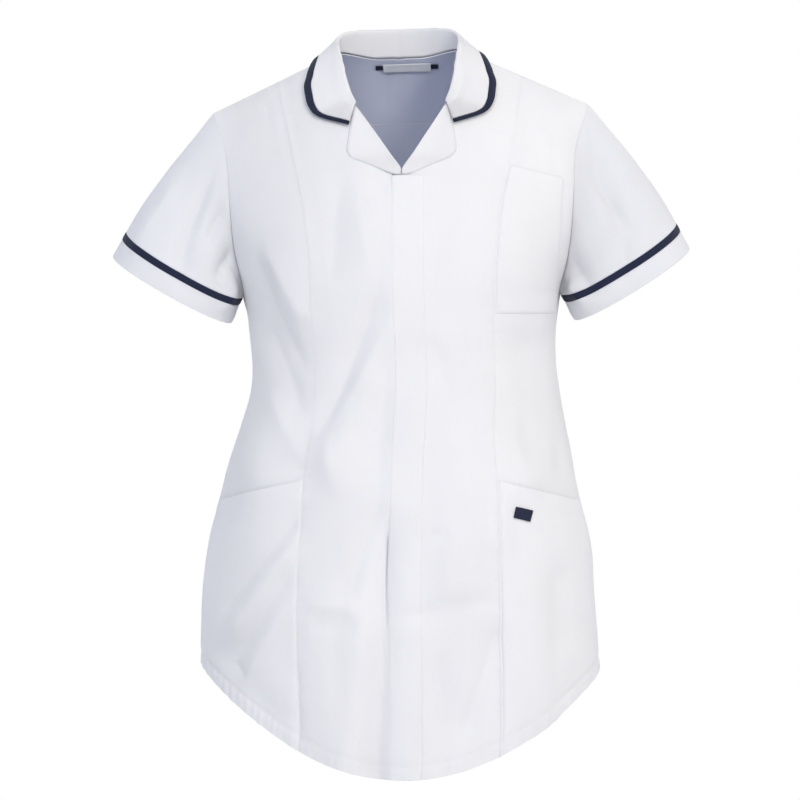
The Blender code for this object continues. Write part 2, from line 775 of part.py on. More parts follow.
def build_sleeves(front_levels, back_levels):
    ring = armhole_ring(front_levels, back_levels)
    edge = np.array([body_point(*place) for place in ring])
    normals = np.array([body_normal(*place) for place in ring])
    lengths = np.linalg.norm(np.roll(edge, -1, axis=0) - edge, axis=1)
    top = len(front_levels) - 1
    up_front = np.concatenate([[0], np.cumsum(lengths[:top])]) / lengths[:top].sum()
    down_back = np.cumsum(lengths[top:-1]) / lengths[top:].sum()
    turns = np.concatenate([0.5 * up_front, 0.5 + 0.5 * down_back])
    cuffs = np.array([cuff_point(turn) for turn in turns])
    tangent = np.roll(edge, -1, axis=0) - np.roll(edge, 1, axis=0)
    tangent /= np.linalg.norm(tangent, axis=1, keepdims=True)
    outwards = np.cross(tangent, normals)
    outwards *= np.sign(outwards[:, :1])
    run = cuffs - edge
    run_length = np.linalg.norm(run, axis=1, keepdims=True)
    heading = run / run_length
    lifted = heading + normals
    start = edge + ARMHOLE_GAP * lifted / np.linalg.norm(lifted, axis=1, keepdims=True)
    run = cuffs - start
    run_length = np.linalg.norm(run, axis=1)
    swell = SLEEVE_SWELL * (1 - np.cos(2 * math.pi * turns)) / 2

    def row(from_edge):
        """Points at given distances from the cuff's edge."""
        share = 1 - from_edge / run_length
        middle = start.mean(axis=0) * (1 - share)[:, None] + cuffs.mean(axis=0) * share[:, None]
        points = start + run * share[:, None]
        away = points - middle
        away /= np.linalg.norm(away, axis=1, keepdims=True)
        return points + away * (swell * np.sin(math.pi * np.clip(share, 0, 1)))[:, None]

    def built(distances):
        return np.array([row(d) for d in distances])

    foot = CUFF + TRIM + 2 * SEAM_GAP
    full = built([run_length + (foot - run_length) * (k / SLEEVE_STEPS) for k in range(SLEEVE_STEPS + 1)])
    band = built([np.full_like(run_length, d) for d in (CUFF + TRIM + SEAM_GAP, CUFF + SEAM_GAP)])
    cuff = built([np.full_like(run_length, d) for d in (CUFF, CUFF / 2, 0.0)])
    whole = np.concatenate([full, band, cuff])
    directions = grid_normals(whole, ring=True)
    centre = whole.mean(axis=1, keepdims=True)
    if ((whole - centre) * directions).sum() < 0:
        directions = -directions
    first = directions[0] - np.maximum((directions[0] * outwards).sum(axis=1), 0)[:, None] * outwards
    directions[0] = first / np.linalg.norm(first, axis=1, keepdims=True)
    parts = {
        "sleeve": (slice(0, SLEEVE_STEPS + 1), WALL, WHITE),
        "sleeve_band": (slice(SLEEVE_STEPS + 1, SLEEVE_STEPS + 3), WALL, NAVY),
        "cuff": (slice(SLEEVE_STEPS + 3, None), WALL, WHITE),
    }
    for name, (rows, thickness, look) in parts.items():
        points, normal = whole[rows], directions[rows]
        wall(f"{name}_left", (points, normal), -thickness, thickness, look, ring=True)
        wall(f"{name}_right", (mirrored(points), mirrored(normal)), -thickness, thickness, look, ring=True)


def build_small_pieces():
    """The tab on the left hip pocket, and the label and loop inside the back of the neck."""
    wide, high = TAB_SIZE
    turn = np.array([[math.cos(TAB_TILT), -math.sin(TAB_TILT)], [math.sin(TAB_TILT), math.cos(TAB_TILT)]])
    places = np.array([
        [front_at(*(turn @ np.array([across * wide, up * high]) + TAB_CENTRE)) for across in (-0.5, 0, 0.5)]
        for up in (-0.5, 0, 0.5)
    ])
    wall("pocket_tab", faces_of(places), WALL + 2 * PATCH_LIFT, TAPE_WALL, NAVY)
    for name, across, heights, look in (
        ("neck_label", LABEL_X, LABEL_Z, LABEL_WHITE),
        ("hanger_loop", LOOP_X, LOOP_Z, NAVY),
    ):
        depth = WALL + TAPE_GAP + TAPE_WALL
        if name == "neck_label":
            depth += SEAM_GAP + TAPE_WALL
        columns = np.linspace(across[1], across[0], TAPE_STEPS)
        places = np.array([[back_at(x, z) for x in columns] for z in heights])
        wall(name, faces_of(places), -depth, TAPE_WALL, look)


def main():
    for old in list(bpy.data.objects):
        bpy.data.objects.remove(old)
    side = build_side_fronts()
    build_centre_fronts()
    panel, yoke = build_back()
    front_levels = [level for level in side[:, -1, 1] if level > -TOUCHING]
    front_levels[-1] = CHEST_RISE
    back_levels = [level for level in [*panel[:, -1, 1], *yoke[1:-1, -1, 1]] if level > TOUCHING]
    build_sleeves(front_levels, back_levels[::-1])
    build_revers()
    build_collar()
    build_small_pieces()


main()
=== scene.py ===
"""Looks of a white maternity tunic, hung as it is worn, with no wearer.

Metres, +Z up, the front faces -Y. Sides are the wearer's: right is at -X and left is at +X.
"""

import math

import bpy
import numpy as np
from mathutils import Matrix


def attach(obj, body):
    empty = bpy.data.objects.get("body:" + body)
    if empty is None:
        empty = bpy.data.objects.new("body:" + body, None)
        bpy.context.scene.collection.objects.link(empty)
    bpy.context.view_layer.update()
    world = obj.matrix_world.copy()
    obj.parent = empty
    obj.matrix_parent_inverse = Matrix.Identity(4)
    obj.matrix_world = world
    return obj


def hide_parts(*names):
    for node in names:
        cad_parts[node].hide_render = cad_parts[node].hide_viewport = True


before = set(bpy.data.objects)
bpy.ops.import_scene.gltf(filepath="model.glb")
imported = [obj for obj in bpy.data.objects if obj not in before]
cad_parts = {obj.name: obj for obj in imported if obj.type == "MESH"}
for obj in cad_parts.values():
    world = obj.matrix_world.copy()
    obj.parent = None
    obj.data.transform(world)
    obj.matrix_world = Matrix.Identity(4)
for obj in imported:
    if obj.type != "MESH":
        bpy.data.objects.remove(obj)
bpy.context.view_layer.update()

# Cloth
WALL = 0.0013
CAD_WALL = 0.0015  # of the solids
SEAM_GAP = 0.0003
PATCH_LIFT = 0.0006
BAND_WALL = 0.0020
TAPE_WALL = 0.0007
PITCH = 0.0027  # of the points of a panel
EDGE_STEPS = (0.0, 0.0005, 0.0011, 0.0019)  # finer steps beside every edge
SEAM_DROP = 0.00018  # how deep a seam lies
SEAM_REACH = 0.0012
PATCH_DROP = 0.0016  # how far a patch thins towards its edges
PATCH_REACH = 0.0040
LEAST_WALL = 0.0003  # what is left of a wall at a turned-in edge
HEM_PLY = 0.0011  # how much the hem's turning adds inside
HEM_PLY_STEP = 0.001
BAND_LIFT = 0.0004  # from the left front to the placket
FLUSH_OVER = 0.014  # the right front rises to the placket's face over this width
FLUSH_END = 0.010  # and less so over this height below the placket's top

# Main sizes, as in the solids
UNDERARM_Z = -0.250
CHEST_RISE = 0.220
NECK_HALF = 0.067
NECK_SIDE_Z = 0.009
NECK_DOME = 0.018
SHOULDER_SLOPE = 0.46
SIDE_HEM_Z = -0.648
FRONT_HEM_DROP = 0.1195
BACK_HEM_DROP = 0.110
SECTION_POWER = 2.3
FRONT_ROLL = 1.75
BACK_ROLL = 3.0
LAP_X = -0.0100
BAND_X = 0.0235
BAND_TOP = 0.0990
YOKE_Z = -0.066
YOKE_HALF = 0.190
YOKE_DROP = 0.019
YOKE_LEVEL = 0.160  # roughly, to find its x
HEM_HALF = 0.2145  # half the body's width at the hem, roughly
ROLL_END = 0.0002  # depth left where the body ends at the shoulder seam
ROLL_DEPTH = 0.12
RUN_HEIGHT = 0.235  # from underarm to shoulder seam, roughly
RUN_DEPTHS = (0.134, 0.110)  # of the front and the back there
LEAST_DEPTH = 0.02  # keeps the outward direction steady where the section runs out

BODY = ("level half_width front back", """
    -0.520 0.2220 0.182 0.150
    -0.400 0.2145 0.178 0.145
    -0.312 0.2087 0.174 0.138
    -0.264 0.2037 0.171 0.134
    -0.217 0.1927 0.166 0.126
    -0.178 0.1837 0.157 0.116
    -0.140 0.1733 0.146 0.104
    -0.106 0.1657 0.138 0.097
    -0.065 0.1615 0.134 0.095
    -0.034 0.1640 0.136 0.101
         0 0.1700 0.138 0.108
     0.055 0.1860 0.138 0.113
     0.110 0.1990 0.135 0.113
     0.165 0.2090 0.132 0.110
     0.220 0.2190 0.128 0.104""")

PRINCESS = ("level x", """
    -0.520 0.1050
    -0.390 0.1070
    -0.250 0.1040
    -0.200 0.1025
    -0.146 0.0970
    -0.080 0.0962
    -0.010 0.0975
     0.045 0.1000
     0.092 0.1060
     0.121 0.1130
     0.170 0.1220
     0.220 0.1310""")

ARMHOLE = ("level front_x back_x", """
        0 0.170 0.170
    0.055 0.180 0.181
    0.110 0.184 0.186
    0.165 0.188 0.190
    0.220 0.200 0.200""")

SIDE_SEAM = ("level degrees", """
    -0.52 82
    -0.22 82
    -0.08 87
        0 90""")

FRONT_NECK = ("level x", """
    0.0990 -0.0100
    0.1048  0.0003
    0.1373  0.0268
    0.1655  0.0478
    0.1745  0.0535
    0.2028  0.0625
    0.2200  0.0670""")

BACK_NECK = ("x level", """
        0 0.2002
    0.030 0.2037
    0.050 0.2120
    0.060 0.2170
    0.067 0.2199""")

# Folds run from top to foot. Depth is outwards, so a trough is negative.
# Bow is how far the middle swings to +x.
FRONT_FOLDS = ("top_x top_z foot_x foot_z depth half_width bow", """
    -0.020 -0.240 -0.095 -0.415 -0.0052 0.011      0
    -0.008 -0.270 -0.082 -0.400  0.0036 0.013      0
    -0.017 -0.320 -0.092 -0.450  0.0028 0.018      0
    -0.020 -0.470 -0.062 -0.590 -0.0040 0.011      0
    -0.011 -0.450 -0.031 -0.800 -0.0085 0.013  0.004
    -0.040 -0.560 -0.056 -0.790  0.0045 0.018      0
    -0.161 -0.195 -0.101 -0.345 -0.0046 0.013 -0.004
    -0.145 -0.195 -0.098 -0.290  0.0030 0.010 -0.003
    -0.152 -0.265 -0.104 -0.395 -0.0042 0.012      0
    -0.148 -0.345 -0.100 -0.440  0.0036 0.011      0
    -0.140 -0.350 -0.150 -0.640  0.0040 0.028      0
    -0.096 -0.470 -0.196 -0.605 -0.0044 0.010  0.004
    -0.102 -0.500 -0.192 -0.632  0.0038 0.010  0.004
    -0.108 -0.535 -0.178 -0.645 -0.0038 0.010  0.003
    -0.112 -0.570 -0.168 -0.672  0.0032 0.011      0
    -0.192 -0.610 -0.122 -0.715 -0.0034 0.017 -0.008
    -0.179 -0.642 -0.164 -0.660 -0.0016 0.005      0
    -0.100 -0.582 -0.040 -0.585  0.0016 0.008      0
    -0.098 -0.604 -0.036 -0.604 -0.0022 0.014      0
    -0.110 -0.640 -0.107 -0.725 -0.0022 0.006      0
    -0.075 -0.520 -0.082 -0.790  0.0030 0.024      0
    -0.090 -0.396 -0.060 -0.470  0.0022 0.014      0
    -0.060 -0.110 -0.075 -0.260 -0.0018 0.013 -0.004
    -0.036 -0.150 -0.048 -0.162 -0.0010 0.005      0
     0.110 -0.590  0.068 -0.720 -0.0046 0.013      0
     0.122 -0.270  0.138 -0.450 -0.0056 0.024  0.004
     0.060 -0.420  0.064 -0.600  0.0040 0.026      0
     0.130 -0.520  0.150 -0.720  0.0045 0.024      0
     0.026 -0.505  0.054 -0.508 -0.0014 0.006      0
    -0.008 -0.598  0.110 -0.572 -0.0022 0.010 -0.004
     0.040 -0.620  0.048 -0.790 -0.0032 0.012  0.002
     0.026 -0.290  0.060 -0.420 -0.0028 0.013  0.004
     0.030 -0.140  0.038 -0.300 -0.0022 0.015  0.004
     0.115 -0.370  0.140 -0.475  0.0026 0.012      0
     0.160 -0.340  0.174 -0.460 -0.0024 0.010  0.002
     0.164 -0.530  0.175 -0.640 -0.0030 0.014      0""")

BACK_FOLDS = ("top_x top_z foot_x foot_z depth half_width bow", """
    -0.120 -0.30 -0.140 -0.640 -0.0060 0.020      0
    -0.060 -0.26 -0.085 -0.560  0.0050 0.022      0
    -0.012 -0.33 -0.030 -0.740 -0.0060 0.020      0
     0.045 -0.28  0.062 -0.600  0.0050 0.022      0
     0.105 -0.30  0.118 -0.700 -0.0065 0.020      0
     0.030 -0.10  0.070 -0.210 -0.0035 0.018      0
    -0.040 -0.11 -0.085 -0.220 -0.0035 0.018      0
    -0.100 -0.36 -0.112 -0.560 -0.0020 0.007  0.004
     0.006 -0.30 -0.004 -0.560  0.0020 0.008 -0.004
     0.085 -0.34  0.090 -0.640 -0.0020 0.007  0.003
     0.140 -0.12  0.105 -0.230 -0.0020 0.008  0.004
    -0.150 -0.13 -0.110 -0.240 -0.0020 0.008 -0.004
     0.150 -0.42  0.160 -0.620  0.0022 0.010      0
    -0.040 -0.52  0.050 -0.545 -0.0012 0.006  0.003
     0.020 -0.34  0.100 -0.330 -0.0014 0.007 -0.006
    -0.110 -0.33 -0.030 -0.345 -0.0014 0.007  0.006""")

SWAY = ("z x", """
    -0.780 -0.0010
    -0.650 -0.0010
    -0.560 -0.0025
    -0.510 -0.0016
    -0.430       0
    -0.390  0.0023
    -0.356  0.0045
    -0.315  0.0034
    -0.250  0.0010
    -0.060       0
     0.040 -0.0035""")
LEAN_AT_NECK = 0.027
LEAN_PER_METRE = 0.065

REVER = ("z inner_x outer_x", """
    -0.124 0.0006 0.0070
    -0.118 0.0008 0.0220
    -0.112 0.0045 0.0360
    -0.106 0.0088 0.0520
    -0.100 0.0130 0.0575
    -0.088 0.0212 0.0575
    -0.074 0.0310 0.0553
    -0.062 0.0392 0.0525
    -0.051 0.0468 0.0505""")
REVER_LIFT = 0.0010
REVER_ROLL = 0.0012  # how much more it stands out at its fold
REVER_ROLL_OVER = 0.15  # share of its width over which that fades
REVER_STEPS = (34, 26)  # points up and across

COLLAR = ("turn roll_x roll_y roll_z edge_x edge_level edge_lift", """
       0      0  0.0690  0.0340      0 0.1906 0.0100
    0.20 0.0225  0.0665  0.0340 0.0300 0.1933 0.0100
    0.40 0.0430  0.0565  0.0335 0.0590 0.2031 0.0080
    0.60 0.0580  0.0400  0.0310 0.0790 0.2138 0.0055
    0.80 0.0640  0.0220  0.0255 0.0880 0.2195 0.0045
    1.00 0.0645 -0.0040  0.0185 0.0915 0.2194 0.0040
    1.25 0.0632 -0.0262  0.0085 0.0950 0.2153 0.0040
    1.50 0.0605 -0.0455 -0.0060 0.0985 0.2077 0.0040
    1.75 0.0572 -0.0628 -0.0250 0.1008 0.1932 0.0040
    1.85 0.0545 -0.0697 -0.0335 0.0972 0.1784 0.0040
    1.93 0.0512 -0.0748 -0.0405 0.0865 0.1652 0.0040
    2.00 0.0485 -0.0790 -0.0465 0.0555 0.1488 0.0040""")
COLLAR_WALL = 0.0016
COLLAR_END_LEVEL = 0.1655
COLLAR_FOOT_POWER = 1.5
EDGE_OVER_SHOULDER = 0.90
COLLAR_CLEARANCE = 0.0036
SEAM_RISE = 0.0015
BINDING = 0.0080
BINDING_AT_END = 0.0045
BINDING_NARROWS = 1.8
BINDING_GAP = 0.0004
BINDING_ROUND = 0.45  # how far its edges are rounded off, as a share of its wall
BACK_TURNS = (0, 1.5, 62)  # turn is 0 at the back's middle and 2 at the collar's end
FRONT_TURNS = (1.5, 2.0, 44)
FALL_POINTS = 31
BINDING_POINTS = 7
LINE_STEPS = 80
CLEAR_FROM = 45  # step of a line from which it is kept clear of the body
SECTION_MIDDLE = 0.100
SECTION_LOW = 0.030
SECTION_STEPS = 24

CUFF_OUTER = (0.3083, -0.205)
CUFF_INNER = (0.1827, -0.279)
CUFF_HALF_DEPTH = 0.056
CUFF_FRONT_DIP = 0.009
CUFF_POWER = 2.2
CUFF = 0.0208
TRIM = 0.0075
SLEEVE_SWELL = 0.007
ARMHOLE_GAP = 0.0001

MOUTH = ("x z", """
    0.095 -0.447
    0.180 -0.469
    0.220 -0.476""")
MOUTH_LEVEL = -0.205
POCKET_SIDES = (0.015, 0.985)
MOUTH_GAPE = 0.0016
MOUTH_GAPE_DEPTH = 0.030
BREAST_TOP = 0.1240
BREAST_FOOT = -0.0230
BREAST_SIDES = (0.02, 0.77)
TAB_CENTRE = (0.1295, -0.4850)
TAB_SIZE = (0.018, 0.012)
TAB_TILT = math.radians(-13)
LABEL_X = (-0.018, 0.034)
LABEL_Z = (-0.0100, -0.0012)
LOOP_X = (-0.026, 0.042)
LOOP_Z = (-0.0075, -0.0030)
LABEL_BEHIND = 0.0011  # from the yoke to the label and to the loop
LOOP_BEHIND = 0.0008

HEM = 0.0145  # from the hem's edge to its stitching
HEM_GROOVE = 0.0009
HEM_TICK = 0.0066  # from one gather of the hem to the next
HEM_TICK_HEIGHT = 0.00080
HEM_TICK_MIDDLE = 0.007  # above the edge, and how far they reach from there
HEM_GATHERS = ((-0.165, 0.05, 0.65), (-0.055, 0.02, 0.40))  # place, width and strength, over HEM_EVEN
HEM_EVEN = 0.35
GROOVE_WIDTH = 0.0026
STITCH = 0.0028  # from one stitch to the next
THREAD = 0.00020  # half a thread's width
THREAD_LIFT = 0.00012
THREAD_SINKS = 0.9  # of its half width, at its ends
STITCH_ENDS = (0.14, 0.86)  # where a thread shows, as shares of a stitch
SEAM_STITCH = 0.0022  # from a seam to its stitching
BAND_STITCH = 0.0012
YOKE_STITCH = 0.0020
PATCH_STITCH = 0.0018
POCKET_HEM = 0.020
CUFF_STITCHES = (("bottom", 0.0015), ("top", 0.0030))
BINDING_STITCH = 0.0010


def numbers(named):
    """The rows of a table. Its first part names the columns."""
    return np.array([line.split() for line in named[1].strip().splitlines()], float)


def table(named):
    """The first column of a table, its other columns and their slopes."""
    rows = numbers(named)
    return rows[:, 0], rows[:, 1:], np.gradient(rows[:, 1:], rows[:, 0], axis=0)


def read(rows, at, column=0):
    """A column of the table at these values of its first one, on a smooth curve through its rows."""
    keys, values, slopes = rows
    at = np.clip(np.asarray(at, float), keys[0], keys[-1])
    i = np.clip(np.searchsorted(keys, at) - 1, 0, len(keys) - 2)
    span = keys[i + 1] - keys[i]
    t = (at - keys[i]) / span
    ahead = t * t * (3 - 2 * t)
    value, slope = values[:, column], slopes[:, column]
    bend = t * (1 - t) * span * ((1 - t) * slope[i] - t * slope[i + 1])
    return value[i] * (1 - ahead) + value[i + 1] * ahead + bend


body_rows = table(BODY)
princess_rows = table(PRINCESS)
armhole_rows = table(ARMHOLE)
side_rows = table(SIDE_SEAM)
front_neck_rows = table(FRONT_NECK)
back_neck_rows = table(BACK_NECK)
sway_rows = table(SWAY)
rever_rows = table(REVER)
collar_rows = table(COLLAR)
mouth_rows = table(MOUTH)
front_folds, back_folds = numbers(FRONT_FOLDS), numbers(BACK_FOLDS)


WAVE_SPREAD = (0.7, 1.6)  # the shortest and the longest, as shares of the length asked for


def waves(seed, count, length, stretch):
    """Random waves: a wave number across and up, and a phase, for each."""
    random = np.random.default_rng(seed)
    turn = random.uniform(0, 2 * math.pi, count)
    number = 2 * math.pi / (length * random.uniform(*WAVE_SPREAD, count))
    return number * np.cos(turn), number * np.sin(turn) / stretch, random.uniform(0, 2 * math.pi, count)


def relief(kind, across, up):
    """Uneven relief of about unit height."""
    total = sum(np.sin(a * across + b * up + phase) for a, b, phase in zip(*kind))
    return total * math.sqrt(2 / len(kind[0]))


SOFT = waves(3, 9, 0.060, 2.4)
SMALL = waves(5, 12, 0.019, 1.8)
PATCHY = waves(8, 5, 0.160, 1.0)
FOLD_STRENGTH = 1.35
FOLDS_FADE = 2.5  # how fast the folds fade towards the sides
SHARP_UNDER = 0.0135  # narrower folds have a sharper middle
SHARPNESS = (1.4, 2.0)
FOLD_RAMP = 4  # a fold comes up over a quarter of its length at each end
FOOT_STAYS = 0.5  # how much of a fold is left where it ends at the hem
SOFT_HEIGHT = 0.00100
SMALL_HEIGHT = 0.00016
CALM_OVER = 0.03  # the relief fades over this height below the shoulder seam
BACK_PLACE = 0.7  # gives the back other relief than the front
PUCKER_HEIGHT = 0.00030
PUCKER_LENGTH = 0.0125
PUCKER_REACH = 0.008
PUCKER_DRIFT = ((2.2, 61), (1.3, 143))
TICK_DRIFT = ((1.7, 57),)


def uneven_wave(along, length, drift):
    """A wave whose length wanders. Each drift is a phase and a wave number."""
    wander = sum(phase * np.sin(along * number) for phase, number in drift)
    return np.sin(2 * math.pi * along / length + wander)


def pucker(away, along):
    """The little gathers beside a stitched seam."""
    wave = uneven_wave(along, PUCKER_LENGTH, PUCKER_DRIFT)
    return PUCKER_HEIGHT * wave * np.exp(-((away / PUCKER_REACH) ** 2))


def hung(points):
    """Where points of the straight garment are once it hangs a little askew."""
    x, y, z = np.moveaxis(points, -1, 0)
    x = x + read(sway_rows, z)
    return np.stack([x, y, z + x * (LEAN_AT_NECK + LEAN_PER_METRE * z)], axis=-1)


def shoulder_z(x):
    beyond = np.abs(x) - NECK_HALF
    dome = NECK_DOME * (1 - (np.clip(np.abs(x), 0, NECK_HALF) / NECK_HALF) ** 2)
    return NECK_SIDE_Z + np.where(beyond >= 0, -SHOULDER_SLOPE * beyond, dome)


def fold_height(folds, x, z):
    total = np.zeros(np.broadcast(x, z).shape)
    for top_x, top_z, foot_x, foot_z, depth, half_width, bow in folds:
        run_x, run_z = foot_x - top_x, foot_z - top_z
        length = math.hypot(run_x, run_z)
        along = np.clip(((x - top_x) * run_x + (z - top_z) * run_z) / length**2, 0, 1)
        middle_x = top_x + along * run_x + bow * 4 * along * (1 - along)
        aside = np.hypot(x - middle_x, z - top_z - along * run_z)
        at_foot = FOOT_STAYS if foot_z < SIDE_HEM_Z else 0
        fade = np.clip(np.minimum(FOLD_RAMP * along, FOLD_RAMP * (1 - along) + at_foot), 0, 1)
        sharpness = SHARPNESS[half_width >= SHARP_UNDER]
        total += depth * np.exp(-((aside / half_width) ** sharpness)) * fade * fade * (3 - 2 * fade)
    return total


def body_points(angle, level, plain=False):
    """Points of the body's outer face. The angle is 0 at the front and 90 degrees at the side at +X."""
    half_width, front, back = (read(body_rows, level, k) for k in range(3))
    side, ahead = np.sin(angle), np.cos(angle)
    shape = 2 / SECTION_POWER
    x = half_width * np.sign(side) * np.abs(side) ** shape
    rise = np.clip(level / CHEST_RISE, 0, 1)
    at_front = ahead >= 0
    power = np.where(at_front, FRONT_ROLL, BACK_ROLL)
    depth = np.where(at_front, front, back) * (1 - rise**power) ** (1 / power)
    y = -depth * np.sign(ahead) * np.abs(ahead) ** shape
    z = np.where(level <= 0, UNDERARM_Z + level, UNDERARM_Z + (shoulder_z(x) - UNDERARM_Z) * rise)
    if plain:
        return np.stack([x, y, z], axis=-1)
    lift = np.where(at_front, fold_height(front_folds, x, z), fold_height(back_folds, x, z))
    lift = FOLD_STRENGTH * lift * np.minimum(1, FOLDS_FADE * np.abs(ahead))
    around = np.where(at_front, x, BACK_PLACE - x)
    patchy = 0.6 + 0.4 * relief(PATCHY, around, z)
    calm = np.clip((CHEST_RISE - level) / CALM_OVER, 0, 1)
    uneven = SOFT_HEIGHT * relief(SOFT, around, z) + SMALL_HEIGHT * relief(SMALL, around, z)
    beside_princess = pucker(np.abs(np.abs(x) - read(princess_rows, level)), z + 0.3 * np.sign(x))
    lift = lift + uneven * patchy * calm + np.where(at_front, beside_princess, 0) * calm
    lift = lift + hem_relief(x, z, at_front)
    away = np.stack([x / half_width**2, y / np.maximum(depth, LEAST_DEPTH) ** 2], axis=-1)
    away *= (lift / np.maximum(np.linalg.norm(away, axis=-1), 1e-9))[..., None]
    return np.stack([x + away[..., 0], y + away[..., 1], z], axis=-1)


def hem_height(share, at_front):
    """Where the hem is at this share of the half width."""
    return SIDE_HEM_Z - np.where(at_front, FRONT_HEM_DROP, BACK_HEM_DROP) * (1 - share**2)


def hem_relief(x, z, at_front):
    """The hem's waves and gathers, and the groove along its stitching."""
    away = np.abs(z - hem_height(np.clip(np.abs(x) / HEM_HALF, 0, 1), at_front))
    strength = HEM_EVEN + sum(more * np.exp(-(((x - at) / width) ** 2)) for at, width, more in HEM_GATHERS)
    ticks = uneven_wave(x, HEM_TICK, TICK_DRIFT) * np.exp(-((away / HEM_TICK_MIDDLE - 1) ** 2))
    groove = np.exp(-(((away - HEM) / GROOVE_WIDTH) ** 2))
    return 1.3 * pucker(away * 0.7, x + 0.5) + HEM_TICK_HEIGHT * strength * ticks - HEM_GROOVE * groove


def angle_at(x, level):
    share = np.minimum(np.abs(x) / read(body_rows, level), 1)
    return np.sign(x) * np.arcsin(share ** (SECTION_POWER / 2))


def level_at(x, z):
    above = np.minimum((z - UNDERARM_Z) / (shoulder_z(x) - UNDERARM_Z), 1) * CHEST_RISE
    return np.where(z <= UNDERARM_Z, z - UNDERARM_Z, above)


# Lines across a panel give an angle for a level, and lines up it give a level for an angle


def princess(level):
    return angle_at(read(princess_rows, level), level)


def front_edge(level):
    below = np.radians(read(side_rows, level))
    return np.where(level <= 0, below, angle_at(read(armhole_rows, level), level))


def back_edge(level):
    below = math.pi - np.radians(read(side_rows, level))
    return np.where(level <= 0, below, angle_at(read(armhole_rows, level, 1), level))


def neck_edge(level):
    return angle_at(read(front_neck_rows, level), level)


def right_inner(level):
    return -angle_at(np.maximum(-LAP_X, read(front_neck_rows, level)), level)


def at_x(x):
    return lambda level: angle_at(np.full_like(level, x), level)


def negative(line):
    return lambda level: -line(level)


def at_level(level):
    return lambda angle: np.full_like(angle, level)


def hem(angle):
    return hem_height(np.abs(np.sin(angle)) ** (2 / SECTION_POWER), np.cos(angle) > 0) - UNDERARM_Z


def mouth(angle):
    x = np.abs(body_points(angle, np.full_like(angle, MOUTH_LEVEL), plain=True)[..., 0])
    return read(mouth_rows, x) - UNDERARM_Z


def top_level(power):
    return CHEST_RISE * (1 - (ROLL_END / ROLL_DEPTH) ** power) ** (1 / power)


def yoke_line(above):
    def line(angle):
        x = body_points(angle, np.full_like(angle, YOKE_LEVEL), plain=True)[..., 0]
        return level_at(x, YOKE_Z - YOKE_DROP * (x / YOKE_HALF) ** 2 + above)
    return line


def neck_or_shoulder(angle):
    x = np.abs(body_points(angle, np.full_like(angle, CHEST_RISE), plain=True)[..., 0])
    top = top_level(BACK_ROLL)
    return np.where(x >= NECK_HALF, top, np.minimum(top, read(back_neck_rows, x)))


def cloth_run(power, depth):
    """Lengths of cloth from the underarm up over the shoulder, and the levels there."""
    turn = np.linspace(0, math.pi / 2, 3001)
    rise = np.sin(turn) ** (2 / power)
    out = depth * (1 - rise**power) ** (1 / power)
    steps = np.hypot(np.diff(out), np.diff(rise * RUN_HEIGHT))
    return np.concatenate([[0], np.cumsum(steps)]), rise * CHEST_RISE


FRONT_RUN = cloth_run(FRONT_ROLL, RUN_DEPTHS[0])
BACK_RUN = cloth_run(BACK_ROLL, RUN_DEPTHS[1])


CLOSEST = 0.4  # how near an even point may come to a finer one, as a share of the pitch


def shares(length, pitch=PITCH):
    """Shares of a length at an even pitch, with finer steps beside its ends."""
    inner = np.linspace(0, 1, max(3, round(length / pitch) + 1))
    start = np.array(EDGE_STEPS) / length
    end = 1 - start[::-1]
    low, high = start[-1] + CLOSEST * pitch / length, end[0] - CLOSEST * pitch / length
    return np.concatenate([start, inner[(inner > low) & (inner < high)], end])


LAY_OUT_ROUNDS = 8


def lay_out(left, right, low, high, columns, rows, run=FRONT_RUN):
    """Angles and levels of a panel's points. Each round brings them nearer to the slanted edges."""
    u, v = np.meshgrid(columns, rows)
    level = np.zeros_like(u)
    for _ in range(LAY_OUT_ROUNDS):
        start, end = left(level), right(level)
        angle = start + (end - start) * u
        ends = low(angle), high(angle)
        low_run, high_run = (np.where(at <= 0, at, np.interp(at, run[1], run[0])) for at in ends)
        along = low_run + (high_run - low_run) * v
        level = np.where(along <= 0, along, np.interp(along, run[0], run[1]))
    return angle, level


def grid_normals(points, ring=False):
    if ring:
        around = np.roll(points, -1, axis=1) - np.roll(points, 1, axis=1)
    else:
        around = np.gradient(points, axis=1)
    normals = np.cross(around, np.gradient(points, axis=0))
    return normals / np.maximum(np.linalg.norm(normals, axis=2, keepdims=True), 1e-12)


def distances(points, axis):
    """How far each point of a grid is from its first row or column."""
    steps = np.linalg.norm(np.diff(points, axis=axis), axis=2)
    start = np.zeros_like(np.take(steps, [0], axis=axis))
    return np.concatenate([start, np.cumsum(steps, axis=axis)], axis=axis)


def edge_drop(points, edges, deep=SEAM_DROP, wide=SEAM_REACH, ring=False):
    """How far the outer face turns in beside the named edges."""
    drop = np.zeros(points.shape[:2])
    up = distances(points, 0)
    away = {"bottom": up, "top": up[-1:] - up}
    if not ring:
        across = distances(points, 1)
        away |= {"left": across, "right": across[:, -1:] - across}
    for edge in edges:
        drop = np.maximum(drop, deep * np.clip(1 - away[edge] / wide, 0, 1) ** 2)
    return drop


def unit(vectors):
    return vectors / np.linalg.norm(vectors, axis=-1, keepdims=True)


def path_lengths(points):
    return np.concatenate([[0], np.cumsum(np.linalg.norm(np.diff(points, axis=0), axis=1))])


def on_path(at, lengths, values):
    """The values of a path's points at these lengths along it."""
    return np.stack([np.interp(at, lengths, values[:, k]) for k in range(3)], axis=-1)


